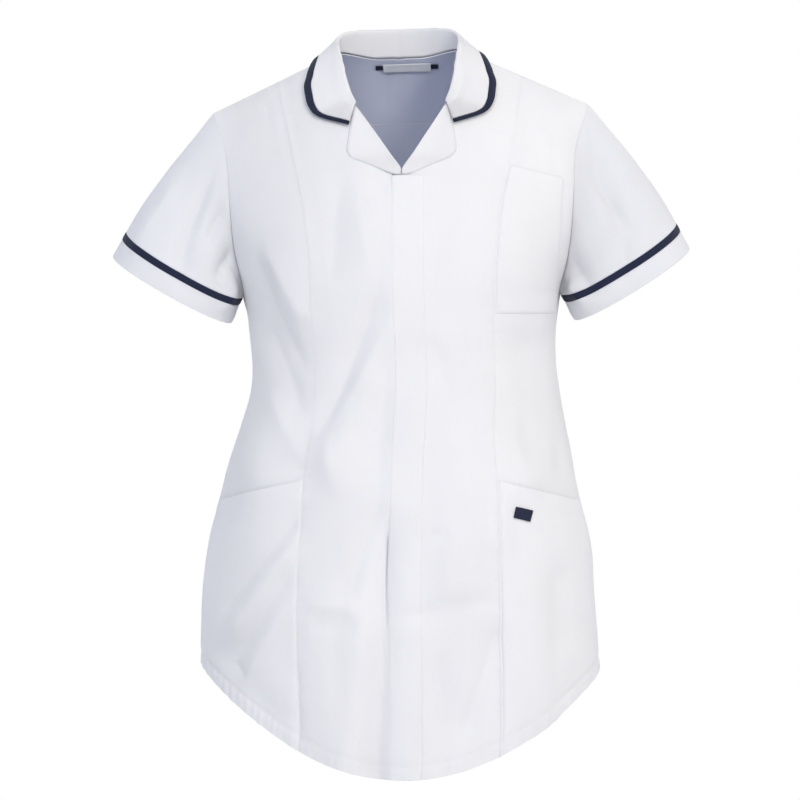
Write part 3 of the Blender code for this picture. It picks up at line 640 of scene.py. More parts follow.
def make_mesh(name, vertices, quads, material, uvs=None, inside=None):
    mesh = bpy.data.meshes.new(name)
    mesh.vertices.add(len(vertices))
    mesh.vertices.foreach_set("co", np.asarray(vertices, np.float32).ravel())
    mesh.loops.add(quads.size)
    mesh.loops.foreach_set("vertex_index", quads.astype(np.int32).ravel())
    mesh.polygons.add(len(quads))
    mesh.polygons.foreach_set("loop_start", np.arange(0, quads.size, quads.shape[1], dtype=np.int32))
    mesh.polygons.foreach_set("use_smooth", np.ones(len(quads), bool))
    mesh.update(calc_edges=True)
    if uvs is not None:
        layer = mesh.uv_layers.new(name="cloth")
        layer.data.foreach_set("uv", uvs[quads.ravel()].astype(np.float32).ravel())
    mesh.materials.append(material)
    if inside is not None:
        mesh.materials.append(inside[0])
        mesh.polygons.foreach_set("material_index", inside[1].astype(np.int32))
    piece = bpy.data.objects.new(name, mesh)
    bpy.context.scene.collection.objects.link(piece)
    return piece


def shell(name, outer, inner, material, ring=False):
    """A closed thin wall between two grids of points."""
    rows, columns = outer.shape[:2]
    number = np.arange(rows * columns).reshape(rows, columns)
    if ring:
        number = np.concatenate([number, number[:, :1]], axis=1)
    under = number + rows * columns

    def strip(a, b, c, d):
        return np.stack([a.ravel(), b.ravel(), c.ravel(), d.ravel()], axis=1)

    quads = [
        strip(number[:-1, :-1], number[:-1, 1:], number[1:, 1:], number[1:, :-1]),
        strip(under[:-1, :-1], under[1:, :-1], under[1:, 1:], under[:-1, 1:]),
        strip(number[0, 1:], number[0, :-1], under[0, :-1], under[0, 1:]),
        strip(number[-1, :-1], number[-1, 1:], under[-1, 1:], under[-1, :-1]),
    ]
    if not ring:
        quads.append(strip(number[:-1, 0], number[1:, 0], under[1:, 0], under[:-1, 0]))
        quads.append(strip(number[1:, -1], number[:-1, -1], under[:-1, -1], under[1:, -1]))
    across, up = distances(outer, 1), distances(outer, 0)
    across = across - across[:, columns // 2:columns // 2 + 1]
    uv = np.stack([across, up], axis=-1).reshape(-1, 2)
    vertices = hung(np.concatenate([outer.reshape(-1, 3), inner.reshape(-1, 3)]))
    inside = None
    # The inner faces of white pieces get the darker, bluer white as painted shade
    if material in (white, white_sleeve_painted_shade):
        painted_shade_faces = np.concatenate([np.full(len(strip_quads), k == 1) for k, strip_quads in enumerate(quads)])
        inside = (white_inside_painted_shade, painted_shade_faces)
    return make_mesh(name, vertices, np.concatenate(quads), material, np.concatenate([uv, uv]), inside)


TO_OTHER_SIDE = np.array([-1.0, 1.0, 1.0])


def flipped(grid):
    return grid[:, ::-1] * TO_OTHER_SIDE


made = {}
PARTED = ("front_centre_left", "front_centre_right")  # one cloth here, three solids each


def stand_in(name, outer, inner, normals, material, ring=False):
    """The cloth that stands for the solid of this name."""
    piece = shell(f"cloth_{name}", outer, inner, material, ring)
    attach(piece, "root")
    nodes = [f"{name}_{part}" for part in ("lower", "middle", "upper")] if name in PARTED else [name]
    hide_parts(*nodes)
    made[name] = (piece, outer, normals)


def cloth_piece(name, points, lift, thickness, material, edges=(), soft_edges=()):
    """A sheet whose inner face is the grid moved out by lift. A soft edge thins over a wider strip."""
    normals = grid_normals(points)
    lift = np.broadcast_to(np.asarray(lift, float), points.shape[:2])
    drop = np.maximum(edge_drop(points, edges), edge_drop(points, soft_edges, PATCH_DROP, PATCH_REACH))
    drop = np.minimum(drop, np.maximum(thickness + np.minimum(lift, PATCH_LIFT) - LEAST_WALL, 0))
    inner_drop = np.clip(drop - 0.5 * thickness, 0, None)
    inner = points + normals * (lift - inner_drop)[..., None]
    outer = points + normals * (lift + thickness - drop)[..., None]
    stand_in(name, outer, inner, normals, material)


# Materials


def add_node(nodes, kind, **inputs):
    """A shader node with some inputs set. An underscore in a name stands for a space."""
    added = nodes.new(f"ShaderNode{kind}")
    for key, value in inputs.items():
        added.inputs[key.replace("_", " ")].default_value = value
    return added


def new_material(name, roughness):
    material = bpy.data.materials.new(name)
    material.use_nodes = True
    nodes, links = material.node_tree.nodes, material.node_tree.links
    shader = nodes["Principled BSDF"]
    shader.inputs["Roughness"].default_value = roughness
    return material, nodes, links, shader


def cloth_material(name, colour, roughness, thread=0.00045, weave=0.00006, wrinkle=0.00022, sheen=0.12):
    """Plain-coloured woven cloth: a fine twill, faint wrinkles and slight changes of tone."""
    material, nodes, links, shader = new_material(name, roughness)
    for key, value in (("Sheen Weight", sheen), ("Sheen Roughness", 0.5), ("Specular IOR Level", 0.25)):
        shader.inputs[key].default_value = value

    def math_node(operation, *values):
        added = add_node(nodes, "Math")
        added.operation = operation
        for socket, value in zip(added.inputs, values):
            if isinstance(value, float):
                socket.default_value = value
            else:
                links.new(value, socket)
        return added.outputs[0]

    uv = add_node(nodes, "UVMap")
    uv.uv_map = "cloth"
    split = add_node(nodes, "SeparateXYZ")
    links.new(uv.outputs[0], split.inputs[0])
    across, along = split.outputs[0], split.outputs[1]
    number = 2 * math.pi / thread
    warp = math_node("SINE", math_node("MULTIPLY", across, number))
    twill = math_node("SINE", math_node("MULTIPLY", math_node("ADD", across, along), number / 2))
    place = add_node(nodes, "TexCoord")
    stretched = add_node(nodes, "Mapping", Scale=(1, 1, 0.45))
    links.new(place.outputs["Object"], stretched.inputs[0])
    creases = add_node(nodes, "TexNoise", Scale=55, Detail=3, Roughness=0.55)
    tone = add_node(nodes, "TexNoise", Scale=14, Detail=2)
    slub = add_node(nodes, "TexNoise", Scale=900, Detail=1)
    for texture in (creases, tone, slub):
        links.new(stretched.outputs[0], texture.inputs["Vector"])
    ramp = add_node(nodes, "MapRange", From_Min=0.3, From_Max=0.7, To_Min=0.955, To_Max=1.010)
    parts = [math_node("MULTIPLY", noise.outputs[0], part) for noise, part in ((tone, 0.7), (slub, 0.3))]
    links.new(math_node("ADD", *parts), ramp.inputs["Value"])
    scale = add_node(nodes, "VectorMath")
    scale.operation = "SCALE"
    scale.inputs[0].default_value = colour
    links.new(ramp.outputs[0], scale.inputs["Scale"])
    links.new(scale.outputs[0], shader.inputs["Base Color"])
    fine = add_node(nodes, "Bump", Strength=1.0, Distance=weave)
    links.new(math_node("ADD", warp, twill), fine.inputs["Height"])
    broad = add_node(nodes, "Bump", Strength=1.0, Distance=wrinkle)
    links.new(creases.outputs[0], broad.inputs["Height"])
    links.new(fine.outputs[0], broad.inputs["Normal"])
    links.new(broad.outputs[0], shader.inputs["Normal"])
    return material


white = cloth_material("white_twill", (0.880, 0.882, 0.898), 0.82)
# Sleeves and cuffs: the same white twill, darker and bluer, as painted shade
white_sleeve_painted_shade = cloth_material("white_twill_sleeves_painted_shade", (0.828, 0.836, 0.866), 0.82)
# Inner faces of the white cloth: the same twill, darker and bluer, as painted shade inside the garment
white_inside_painted_shade = cloth_material("white_twill_inside_painted_shade", (0.71, 0.755, 0.92), 0.85)
navy = cloth_material("navy_twill", (0.0095, 0.0145, 0.0420), 0.70, thread=0.0006, sheen=0.05)
satin = cloth_material("label_satin", (0.80, 0.82, 0.86), 0.42, 0.0003, 0.00003, 0.0001)
white_thread = cloth_material("white_thread", (0.90, 0.90, 0.92), 0.60, thread=0.0004, wrinkle=0.00002)
navy_thread = cloth_material("navy_thread", (0.013, 0.019, 0.050), 0.60, thread=0.0004, wrinkle=0.00002)


# Body panels. What shares() gets is a panel's width or length, roughly, and a pitch where it isn't PITCH.

BACK_PITCH = 0.0030
YOKE_PITCH = 0.0028
BAND_PITCH = 0.0024
POCKET_PITCH = 0.0020
rows_front = shares(0.75)
front_top = at_level(top_level(FRONT_ROLL))


def mirrored(places):
    """The same place on the other side of the garment."""
    return -places[0][:, ::-1], places[1][:, ::-1]


def body_panel(name, places, hemmed=True, rise=0.0):
    """A panel whose outer face is the body's. The hem's turning makes it thicker inside."""
    points = body_points(*places)
    below = HEM + HEM_PLY_STEP - distances(points, 0)
    extra = HEM_PLY * np.clip(below / HEM_PLY_STEP, 0, 1) if hemmed else 0.0
    cloth_piece(name, points, rise - WALL - extra, WALL + extra, white)


side = lay_out(princess, front_edge, hem, front_top, shares(0.090), rows_front)
body_panel("front_side_left", side)
body_panel("front_side_right", mirrored(side))
body_panel("front_centre_left", lay_out(neck_edge, princess, hem, front_top, shares(0.112), rows_front))
centre_right = lay_out(negative(princess), right_inner, hem, front_top, shares(0.092), rows_front)
reach = distances(body_points(*centre_right, plain=True), 1)
near = np.clip(1 - (reach[:, -1:] - reach) / FLUSH_OVER, 0, 1)
flush = near**2 * (3 - 2 * near) * np.clip((BAND_TOP - centre_right[1]) / FLUSH_END, 0, 1)
body_panel("front_centre_right", centre_right, rise=(BAND_LIFT + BAND_WALL) * flush)

band = lay_out(at_x(LAP_X), at_x(BAND_X), hem, at_level(BAND_TOP), shares(0.034, BAND_PITCH), shares(0.63))
cloth_piece("placket_band", body_points(*band), BAND_LIFT, BAND_WALL, white, ("bottom", "top"), ("right",))

# These two are laid out from the back's middle, so they are turned round
for name, low, high, columns, rows in (
    ("back", hem, yoke_line(-0.5 * SEAM_GAP), shares(0.50, BACK_PITCH), shares(0.62, BACK_PITCH)),
    ("back_yoke", yoke_line(0.5 * SEAM_GAP), neck_or_shoulder, shares(0.42, YOKE_PITCH), shares(0.115)),
):
    angle, level = lay_out(negative(back_edge), back_edge, low, high, columns, rows, BACK_RUN)
    body_panel(name, (math.pi - angle[:, ::-1], level[:, ::-1]), hemmed=name == "back")


# Pockets

def between_lines(first, last):
    """Lines up a side front, at two shares of its width."""
    def line(share):
        return lambda level: princess(level) + (front_edge(level) - princess(level)) * share
    return line(first), line(last)


hip = lay_out(*between_lines(*POCKET_SIDES), hem, mouth, shares(0.150, POCKET_PITCH), shares(0.24))
for name, places in (("hip_pocket_left", hip), ("hip_pocket_right", mirrored(hip))):
    points = body_points(*places)
    below = points[-1:, :, 2] - points[:, :, 2]
    gape = MOUTH_GAPE * np.clip(1 - below / MOUTH_GAPE_DEPTH, 0, 1) ** 2
    gape = gape * np.sin(np.linspace(0, math.pi, points.shape[1]))
    cloth_piece(name, points, PATCH_LIFT + gape, WALL, white, ("top", "bottom"), ("left", "right"))

breast_sides = between_lines(*BREAST_SIDES)
breast = lay_out(*breast_sides, at_level(BREAST_FOOT), at_level(BREAST_TOP), shares(0.062), shares(0.155))
cloth_piece(
    "breast_pocket", body_points(*breast), PATCH_LIFT, WALL, white, ("top",), ("left", "right", "bottom"),
)


# Revers

rever_z = np.linspace(rever_rows[0][0], rever_rows[0][-1], REVER_STEPS[0])
inner_x, outer_x = read(rever_rows, rever_z), read(rever_rows, rever_z, 1)
rever_share = np.linspace(0, 1, REVER_STEPS[1])
rever_x = inner_x[:, None] + (outer_x - inner_x)[:, None] * rever_share
rever_level = level_at(rever_x, np.broadcast_to(rever_z[:, None], rever_x.shape))
rever_points = body_points(angle_at(rever_x, rever_level), rever_level)
rise = REVER_LIFT + REVER_ROLL * np.exp(-rever_share / REVER_ROLL_OVER)
for name, points, lift, inner, outer in (
    ("rever_left", rever_points, rise, "left", "right"),
    ("rever_right", flipped(rever_points), rise[::-1], "right", "left"),
):
    cloth_piece(name, points, lift, WALL, white, (inner, "top"), (outer, "bottom"))


# Collar

def body_directions(angle, level):
    step = 1e-4
    around = body_points(angle + step, level) - body_points(angle - step, level)
    upwards = body_points(angle, np.minimum(level + step, CHEST_RISE)) - body_points(angle, level - step)
    return unit(np.cross(around, upwards))


def clear_of_body(points):
    """Moves points of the collar's fall out, round the shoulder, until they are clear of the body."""
    x, y, z = points.T
    middle = shoulder_z(x) - SECTION_MIDDLE
    levels = np.linspace(SECTION_LOW, CHEST_RISE, SECTION_STEPS)[None]
    angle = angle_at(x[:, None], levels)
    every = np.broadcast_to(levels, angle.shape)
    front = body_points(angle, every)
    back = body_points(math.pi - angle, every)[:, -2::-1]
    section = np.concatenate([front, back], axis=1)[..., 1:]
    section[..., 1] -= middle[:, None]
    turns = np.arctan2(section[..., 1], section[..., 0])
    reaches = np.linalg.norm(section, axis=-1)
    moved = points.copy()
    for i in range(len(points)):
        order = np.argsort(turns[i])
        reach = np.interp(math.atan2(z[i] - middle[i], y[i]), turns[i][order], reaches[i][order])
        length = math.hypot(y[i], z[i] - middle[i])
        grow = max(1.0, (reach + COLLAR_CLEARANCE) / length)
        moved[i] = x[i], y[i] * grow, middle[i] + (z[i] - middle[i]) * grow
    return moved


def neck_points(turns):
    back_x = NECK_HALF * np.sin(np.clip(turns, 0, 1) * math.pi / 2)
    back_level = read(back_neck_rows, back_x)
    down = np.clip(turns - 1, 0, 1) ** COLLAR_FOOT_POWER
    front_level = CHEST_RISE - (CHEST_RISE - COLLAR_END_LEVEL) * down
    front_angle = angle_at(read(front_neck_rows, front_level), front_level)
    angle = np.where(turns <= 1, math.pi - angle_at(back_x, back_level), front_angle)
    level = np.where(turns <= 1, back_level, front_level)
    return body_points(angle, level, plain=True) + np.array([0, 0, SEAM_RISE])


def along(line, at):
    lengths = path_lengths(line)
    return on_path(at * lengths[-1], lengths, line)


def evened(points):
    """The same line without small kinks. Its ends stay."""
    kernel = np.exp(-((np.arange(-4, 5) / 2.0) ** 2))
    padded = np.concatenate([2 * points[:1] - points[4:0:-1], points, 2 * points[-1:] - points[-2:-6:-1]])
    return np.stack([np.convolve(padded[:, k], kernel / kernel.sum(), "valid") for k in range(3)], axis=1)


def collar_grid():
    turns = np.concatenate([np.linspace(*BACK_TURNS)[:-1], np.linspace(*FRONT_TURNS)])
    feet = neck_points(turns)
    rolls = np.stack([read(collar_rows, turns, k) for k in range(3)], axis=1)
    edge_x, edge_level, edge_lift = (read(collar_rows, turns, k) for k in (3, 4, 5))
    angle = angle_at(edge_x, edge_level)
    angle = np.where(turns < EDGE_OVER_SHOULDER, math.pi - angle, angle)
    edges = edge_lift[:, None] * body_directions(angle, edge_level)
    edges = evened(body_points(angle, edge_level, plain=True) + edges)
    t = np.linspace(0, 1, LINE_STEPS + 1)[None, :, None]
    feet, rolls, edges = feet[:, None], rolls[:, None], edges[:, None]
    # Each line is a Bezier curve from its foot to its edge, bent by the roll
    first, second = feet + (rolls - feet) * 4 / 3, edges + (rolls - edges) * 4 / 3
    lines = (1 - t) ** 3 * feet + 3 * (1 - t) ** 2 * t * first + 3 * (1 - t) * t**2 * second + t**3 * edges
    late = lines[:, CLEAR_FROM:]
    lines[:, CLEAR_FROM:] = clear_of_body(late.reshape(-1, 3)).reshape(late.shape)
    falls, bindings = [], []
    for turn, line in zip(turns, lines):
        length = np.linalg.norm(np.diff(line, axis=0), axis=1).sum()
        narrowing = max(0, (turn - BINDING_NARROWS) / (2 - BINDING_NARROWS))
        start = 1 - (BINDING + (BINDING_AT_END - BINDING) * narrowing) / length
        falls.append(along(line, np.linspace(0, 1, FALL_POINTS) * (start - BINDING_GAP / length)))
        bindings.append(along(line, start + (1 - start) * np.linspace(0, 1, BINDING_POINTS)))

    def both(stations):
        left = np.array(stations)
        right = left[:0:-1] * TO_OTHER_SIDE
        return np.concatenate([right, left]).transpose(1, 0, 2)

    return both(falls), both(bindings)


fall, binding = collar_grid()
whole = np.concatenate([fall, binding])
whole_normals = grid_normals(whole)
for name, rows, thickness, look, edges in (
    ("collar", slice(0, len(fall)), COLLAR_WALL, white, ("top",)),
    ("collar_binding", slice(len(fall), None), BAND_WALL, navy, ()),
):
    points, normals = whole[rows], whole_normals[rows]
    half = np.full(points.shape[:2], 0.5 * thickness)
    if name == "collar_binding":
        half -= BINDING_ROUND * thickness * np.abs(np.linspace(-1, 1, len(points)))[:, None] ** 3
    outer = points + normals * (half - edge_drop(points, edges))[..., None]
    stand_in(name, outer, points - normals * half[..., None], normals, look)


# Sleeves

def cuff_points(turn):
    outer, inner = np.array(CUFF_OUTER), np.array(CUFF_INNER)
    middle, half = (outer + inner) / 2, (outer - inner) / 2
    across, front = -np.cos(2 * math.pi * turn), np.sin(2 * math.pi * turn)
    shape = 2 / CUFF_POWER
    across = np.sign(across) * np.abs(across) ** shape
    front = np.sign(front) * np.abs(front) ** shape
    down = np.array([half[1], -half[0]]) / np.linalg.norm(half)
    place = middle + half * across[:, None] + down * CUFF_FRONT_DIP * front[:, None]
    return np.stack([place[:, 0], -CUFF_HALF_DEPTH * front, place[:, 1]], axis=1)


# Folds of a sleeve, on the cloth: turn is round it, 0.25 at the front, and share is down it
SLEEVE_FOLDS = {
    "left": ("top_turn top_share foot_turn foot_share depth half_width", """
        0.42 0.05 0.22 0.95 -0.0030 0.012
        0.34    0 0.33 0.75 -0.0025 0.010
        0.12 0.05 0.16 0.85 -0.0020 0.012
        0.08 0.20 0.12 0.90  0.0025 0.012
        0.60 0.05 0.70 0.90 -0.0030 0.013
        0.80 0.05 0.76 0.80  0.0030 0.014
        0.90 0.05 0.84 0.70 -0.0030 0.011"""),
    "right": ("top_turn top_share foot_turn foot_share depth half_width", """
        0.36 0.08 0.22 0.98 -0.0036 0.012
        0.26 0.05 0.24 0.45 -0.0024 0.008
        0.14 0.02 0.17 0.55 -0.0030 0.009
        0.42 0.30 0.38 0.95  0.0022 0.014
        0.08 0.15 0.10 0.90  0.0025 0.012
        0.62 0.05 0.72 0.95 -0.0030 0.013
        0.84 0.05 0.78 0.80  0.0028 0.014
        0.92 0.05 0.86 0.70 -0.0030 0.011"""),
}
SLEEVE_STRENGTH = 2.3
SLEEVE_ROUND = 0.40  # metres round a sleeve and down it, roughly, to place its folds
SLEEVE_DOWN = 0.16
SLEEVE_SOFT = 0.0005
SLEEVE_SMALL = 0.0001
CALM_TOP = 0.08  # the folds fade over these shares of a sleeve's length
CALM_FOOT = 0.15
CALM_END = 1.02
SLEEVE_SHARPNESS = 1.6
SLEEVE_RAMPS = (4, 3)  # a fold comes up over a quarter of its length and ends over a third
SLEEVE_SEAM_CALM = 6  # keeps the relief even where the turn starts again
SLEEVE_PITCH = 0.0029
CUFF_PITCH = 0.0026
QUARTER = 84  # steps up a sleeve's front, and down its back
BAND_BULGE = 0.0005


def sleeve_grid(side_name):
    """Points of a left-hand sleeve down to its cuff. The armhole is that of the side named."""
    front_levels = np.interp(np.linspace(0, FRONT_RUN[0][-1], QUARTER + 1), *FRONT_RUN)
    back_levels = np.interp(np.linspace(BACK_RUN[0][-1], 0, QUARTER + 1)[1:-1], *BACK_RUN)
    angle = np.concatenate([front_edge(front_levels), math.pi - back_edge(back_levels)])
    level = np.concatenate([front_levels, back_levels])
    side_sign = 1 if side_name == "left" else -1
    edge = body_points(side_sign * angle, level) * np.array([side_sign, 1, 1])
    normals = body_directions(angle, level)
    lengths = np.linalg.norm(np.roll(edge, -1, axis=0) - edge, axis=1)
    up_front = np.concatenate([[0], np.cumsum(lengths[:QUARTER])]) / lengths[:QUARTER].sum()
    down_back = np.cumsum(lengths[QUARTER:-1]) / lengths[QUARTER:].sum()
    turns = np.concatenate([0.5 * up_front, 0.5 + 0.5 * down_back])
    cuffs = cuff_points(turns)
    start = edge + ARMHOLE_GAP * unit(unit(cuffs - edge) + normals)
    run = cuffs - start
    run_length = np.linalg.norm(run, axis=1)
    swell = SLEEVE_SWELL * (1 - np.cos(2 * math.pi * turns)) / 2

    def row(from_edge):
        share = 1 - from_edge / run_length
        middle = start.mean(axis=0) * (1 - share)[:, None] + cuffs.mean(axis=0) * share[:, None]
        points = start + run * share[:, None]
        out = swell * np.sin(math.pi * np.clip(share, 0, 1))
        return points + unit(points - middle) * out[:, None], share

    foot = CUFF + TRIM + 2 * SEAM_GAP
    sleeve_rows = [row(run_length + (foot - run_length) * k) for k in shares(0.14, SLEEVE_PITCH)]
    trim_ends = np.linspace(CUFF + TRIM + SEAM_GAP, CUFF + SEAM_GAP, BINDING_POINTS)
    trim_rows, cuff_rows = (
        [row(np.full_like(run_length, from_edge)) for from_edge in ends]
        for ends in (trim_ends, CUFF * (1 - shares(CUFF, CUFF_PITCH)))
    )
    rows = sleeve_rows + trim_rows + cuff_rows
    grid, share = np.array([points for points, _ in rows]), np.array([at for _, at in rows])
    directions = grid_normals(grid, ring=True)
    if ((grid - grid.mean(axis=1, keepdims=True)) * directions).sum() < 0:
        directions = -directions
    turn = np.broadcast_to(turns[None], share.shape)
    height = 0.0
    for top_turn, top_share, foot_turn, foot_share, depth, half_width in numbers(SLEEVE_FOLDS[side_name]):
        run_u, run_v = (foot_turn - top_turn) * SLEEVE_ROUND, (foot_share - top_share) * SLEEVE_DOWN
        du, dv = (turn - top_turn) * SLEEVE_ROUND, (share - top_share) * SLEEVE_DOWN
        at = np.clip((du * run_u + dv * run_v) / (run_u**2 + run_v**2), 0, 1)
        aside = np.hypot(du - at * run_u, dv - at * run_v)
        fade = np.clip(np.minimum(SLEEVE_RAMPS[0] * at, SLEEVE_RAMPS[1] * (1 - at)), 0, 1)
        height = height + SLEEVE_STRENGTH * depth * np.exp(-((aside / half_width) ** SLEEVE_SHARPNESS)) * fade
    round_it = turn * SLEEVE_ROUND * np.clip(np.abs(np.sin(math.pi * turn)) * SLEEVE_SEAM_CALM, 0, 1)
    down_it = share * SLEEVE_DOWN
    noise = SLEEVE_SOFT * relief(SOFT, round_it, down_it) + SLEEVE_SMALL * relief(SMALL, round_it, down_it)
    calm = np.clip(share / CALM_TOP, 0, 1) * np.clip((CALM_END - share) / CALM_FOOT, 0, 1)
    grid = grid + directions * ((height + noise) * calm)[..., None]
    return grid, directions, len(sleeve_rows), len(trim_rows)


for side_name in ("left", "right"):
    grid, directions, sleeve_count, trim_count = sleeve_grid(side_name)
    if side_name == "right":
        grid, directions = flipped(grid), flipped(directions)
    cuff_start = sleeve_count + trim_count
    # Sleeve and cuff take the darker, bluer white: painted shade
    for part, rows, look, edges in (
        ("sleeve", slice(0, sleeve_count), white_sleeve_painted_shade, ("top", "bottom")),
        ("sleeve_band", slice(sleeve_count, cuff_start), navy, ()),
        ("cuff", slice(cuff_start, None), white_sleeve_painted_shade, ("top", "bottom")),
    ):
        points, normals = grid[rows], directions[rows]
        lift = -edge_drop(points, edges, ring=True)
        if part == "sleeve_band":
            lift += BAND_BULGE * (1 - np.abs(np.linspace(-1, 1, len(points)))[:, None] ** 4)
        outer = points + normals * lift[..., None]
        stand_in(f"{part}_{side_name}", outer, points - normals * WALL, normals, look, ring=True)


# Tab, label and loop

def tape(name, x, z, lift, look, at_back):
    level = level_at(x, z)
    angle = angle_at(x, level)
    cloth_piece(name, body_points(math.pi - angle if at_back else angle, level), lift, TAPE_WALL, look)


u, v = np.meshgrid(np.linspace(-0.5, 0.5, 13), np.linspace(-0.5, 0.5, 9))
tab_x = TAB_CENTRE[0] + math.cos(TAB_TILT) * u * TAB_SIZE[0] - math.sin(TAB_TILT) * v * TAB_SIZE[1]
tab_z = TAB_CENTRE[1] + math.sin(TAB_TILT) * u * TAB_SIZE[0] + math.cos(TAB_TILT) * v * TAB_SIZE[1]
tape("pocket_tab", tab_x, tab_z, CAD_WALL + 2 * PATCH_LIFT, navy, False)
label_x, label_z = np.meshgrid(np.linspace(LABEL_X[1], LABEL_X[0], 40), np.linspace(*LABEL_Z, 9))
tape("neck_label", label_x, label_z, -CAD_WALL - LABEL_BEHIND - 2 * TAPE_WALL, satin, True)
loop_x, loop_z = np.meshgrid(np.linspace(LOOP_X[1], LOOP_X[0], 50), np.linspace(*LOOP_Z, 5))
tape("hanger_loop", loop_x, loop_z, -CAD_WALL - LOOP_BEHIND - TAPE_WALL, navy, True)


# Stitching

# A thread is a ring of points at each step along its half length
RING_STEPS = np.array([-1.0, -0.7, 0.0, 0.7, 1.0])
RING_RADII = np.array([0.25, 0.85, 1.0, 0.85, 0.25])
SIDES = 5


def stitches(name, paths, look):
    """Short threads along paths of points, each with its outward directions."""
    vertices, quads = [], []
    for points, normals in paths:
        lengths = path_lengths(points)
        count = max(1, int(lengths[-1] / STITCH))
        ends = (np.arange(count)[:, None] + np.array(STITCH_ENDS)) * lengths[-1] / count
        place = on_path(ends, lengths, points)
        out = on_path(ends.mean(axis=1), lengths, normals)
        centre, half = place.mean(axis=1), (place[:, 1] - place[:, 0]) / 2
        heading = unit(half)
        out = unit(out - (out * heading).sum(axis=1, keepdims=True) * heading)
        aside = np.cross(heading, out)
        turn = 2 * math.pi * np.arange(SIDES) / SIDES
        ring = out[:, None] * np.sin(turn)[None, :, None] + aside[:, None] * np.cos(turn)[None, :, None]
        steps = (
            centre[:, None, None] + half[:, None, None] * RING_STEPS[None, :, None, None]
            + ring[:, None] * (THREAD * RING_RADII)[None, :, None, None]
            - out[:, None, None] * (THREAD * THREAD_SINKS * RING_STEPS**2)[None, :, None, None]
        )
        base = sum(len(v) for v in vertices)
        number = base + np.arange(steps[..., 0].size).reshape(steps.shape[:3])
        after = np.roll(number, -1, axis=2)
        faces = np.stack([number[:, :-1], after[:, :-1], after[:, 1:], number[:, 1:]], axis=-1)
        quads.append(faces.reshape(-1, 4))
        vertices.append(steps.reshape(-1, 3))
    vertices = np.concatenate(vertices)
    piece = make_mesh(name, hung(vertices), np.concatenate(quads), look, vertices[:, [0, 2]])
    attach(piece, "root")


def line_beside(name, edge, away, span=(0.0, 1.0)):
    """A path on a piece at this distance from one of its edges."""
    _, outer, normals = made[name]
    axis = 1 if edge in ("left", "right") else 0
    reach = distances(outer, axis)
    if edge in ("right", "top"):
        reach = np.take(reach, [-1], axis=axis) - reach
        reach, outer, normals = (np.flip(a, axis=axis) for a in (reach, outer, normals))
    if axis == 0:
        reach, outer, normals = reach.T, outer.transpose(1, 0, 2), normals.transpose(1, 0, 2)
    path = np.array([on_path(away, *line) for line in zip(reach, outer)])
    out = np.array([on_path(away, *line) for line in zip(reach, normals)])
    kept = slice(int(span[0] * (len(path) - 1)), int(span[1] * (len(path) - 1)) + 1)
    return path[kept] + THREAD_LIFT * out[kept], out[kept]


def closed(path):
    points, normals = path
    return np.concatenate([points, points[:1]]), np.concatenate([normals, normals[:1]])


HEMMED = (
    "front_side_left", "front_side_right", "front_centre_right", "placket_band", "back",
    "hip_pocket_left", "hip_pocket_right",
)
hems = [line_beside(name, "bottom", HEM) for name in HEMMED]
hems.append(line_beside("front_centre_left", "bottom", HEM, (0.30, 1.0)))  # the rest is under the placket
stitches("stitching_hem", hems, white_thread)

seams = [
    line_beside("front_centre_left", "right", SEAM_STITCH),
    line_beside("front_centre_right", "left", SEAM_STITCH),
    line_beside("placket_band", "left", BAND_STITCH),
    line_beside("back_yoke", "bottom", YOKE_STITCH),
]
stitches("stitching_seams", seams, white_thread)

PATCH_EDGES = {
    "hip_pocket_left": ("left", "right", "top"),
    "hip_pocket_right": ("left", "right", "top"),
    "breast_pocket": ("left", "right", "bottom", "top"),
}
pockets = [
    line_beside(name, edge, POCKET_HEM if edge == "top" else PATCH_STITCH)
    for name, edges in PATCH_EDGES.items() for edge in edges
]
stitches("stitching_pockets", pockets, white_thread)

cuffs = [
    closed(line_beside(name, edge, away))
    for edge, away in CUFF_STITCHES for name in ("cuff_left", "cuff_right")
]
stitches("stitching_cuffs", cuffs, white_thread)
binding_line = line_beside("collar_binding", "bottom", BINDING_STITCH)
stitches("stitching_binding", [binding_line], navy_thread)


# What each piece of cloth was cut to: width, length and area

FLAT = ("piece width length area held", """
    back               0.520 0.700 0.33400 hung
    back_yoke          0.430 0.130 0.04000 hung
    breast_pocket      0.075 0.190 0.01360 hung
    collar             0.480 0.070 0.02220 folded
    collar_binding     0.500 0.010 0.00440 folded
    cuff_left          0.430 0.021 0.00890 hung
    cuff_right         0.430 0.021 0.00860 hung
    front_centre_left  0.140 0.770 0.08890 hung
    front_centre_right 0.120 0.770 0.07560 hung
    front_side_left    0.160 0.720 0.09300 hung
    front_side_right   0.160 0.720 0.09230 hung
    hanger_loop        0.068 0.010 0.00037 hung
    hip_pocket_left    0.150 0.290 0.03810 hung
    hip_pocket_right   0.150 0.290 0.03760 hung
    neck_label         0.053 0.011 0.00058 hung
    placket_band       0.036 0.655 0.02310 hung
    pocket_tab         0.019 0.014 0.00026 hung
    rever_left         0.062 0.075 0.00230 folded
    rever_right        0.062 0.075 0.00230 folded
    sleeve_band_left   0.430 0.010 0.00360 hung
    sleeve_band_right  0.430 0.010 0.00350 hung
    sleeve_left        0.430 0.150 0.03410 hung
    sleeve_right       0.430 0.150 0.03350 hung""")
NAVY = ("collar_binding", "pocket_tab", "hanger_loop", "sleeve_band_left", "sleeve_band_right")
SLOTS = {"neck_label": "label_satin"} | dict.fromkeys(NAVY, "navy_trim")
for line in FLAT[1].strip().splitlines():
    name, *sizes, held = line.split()


# Studio

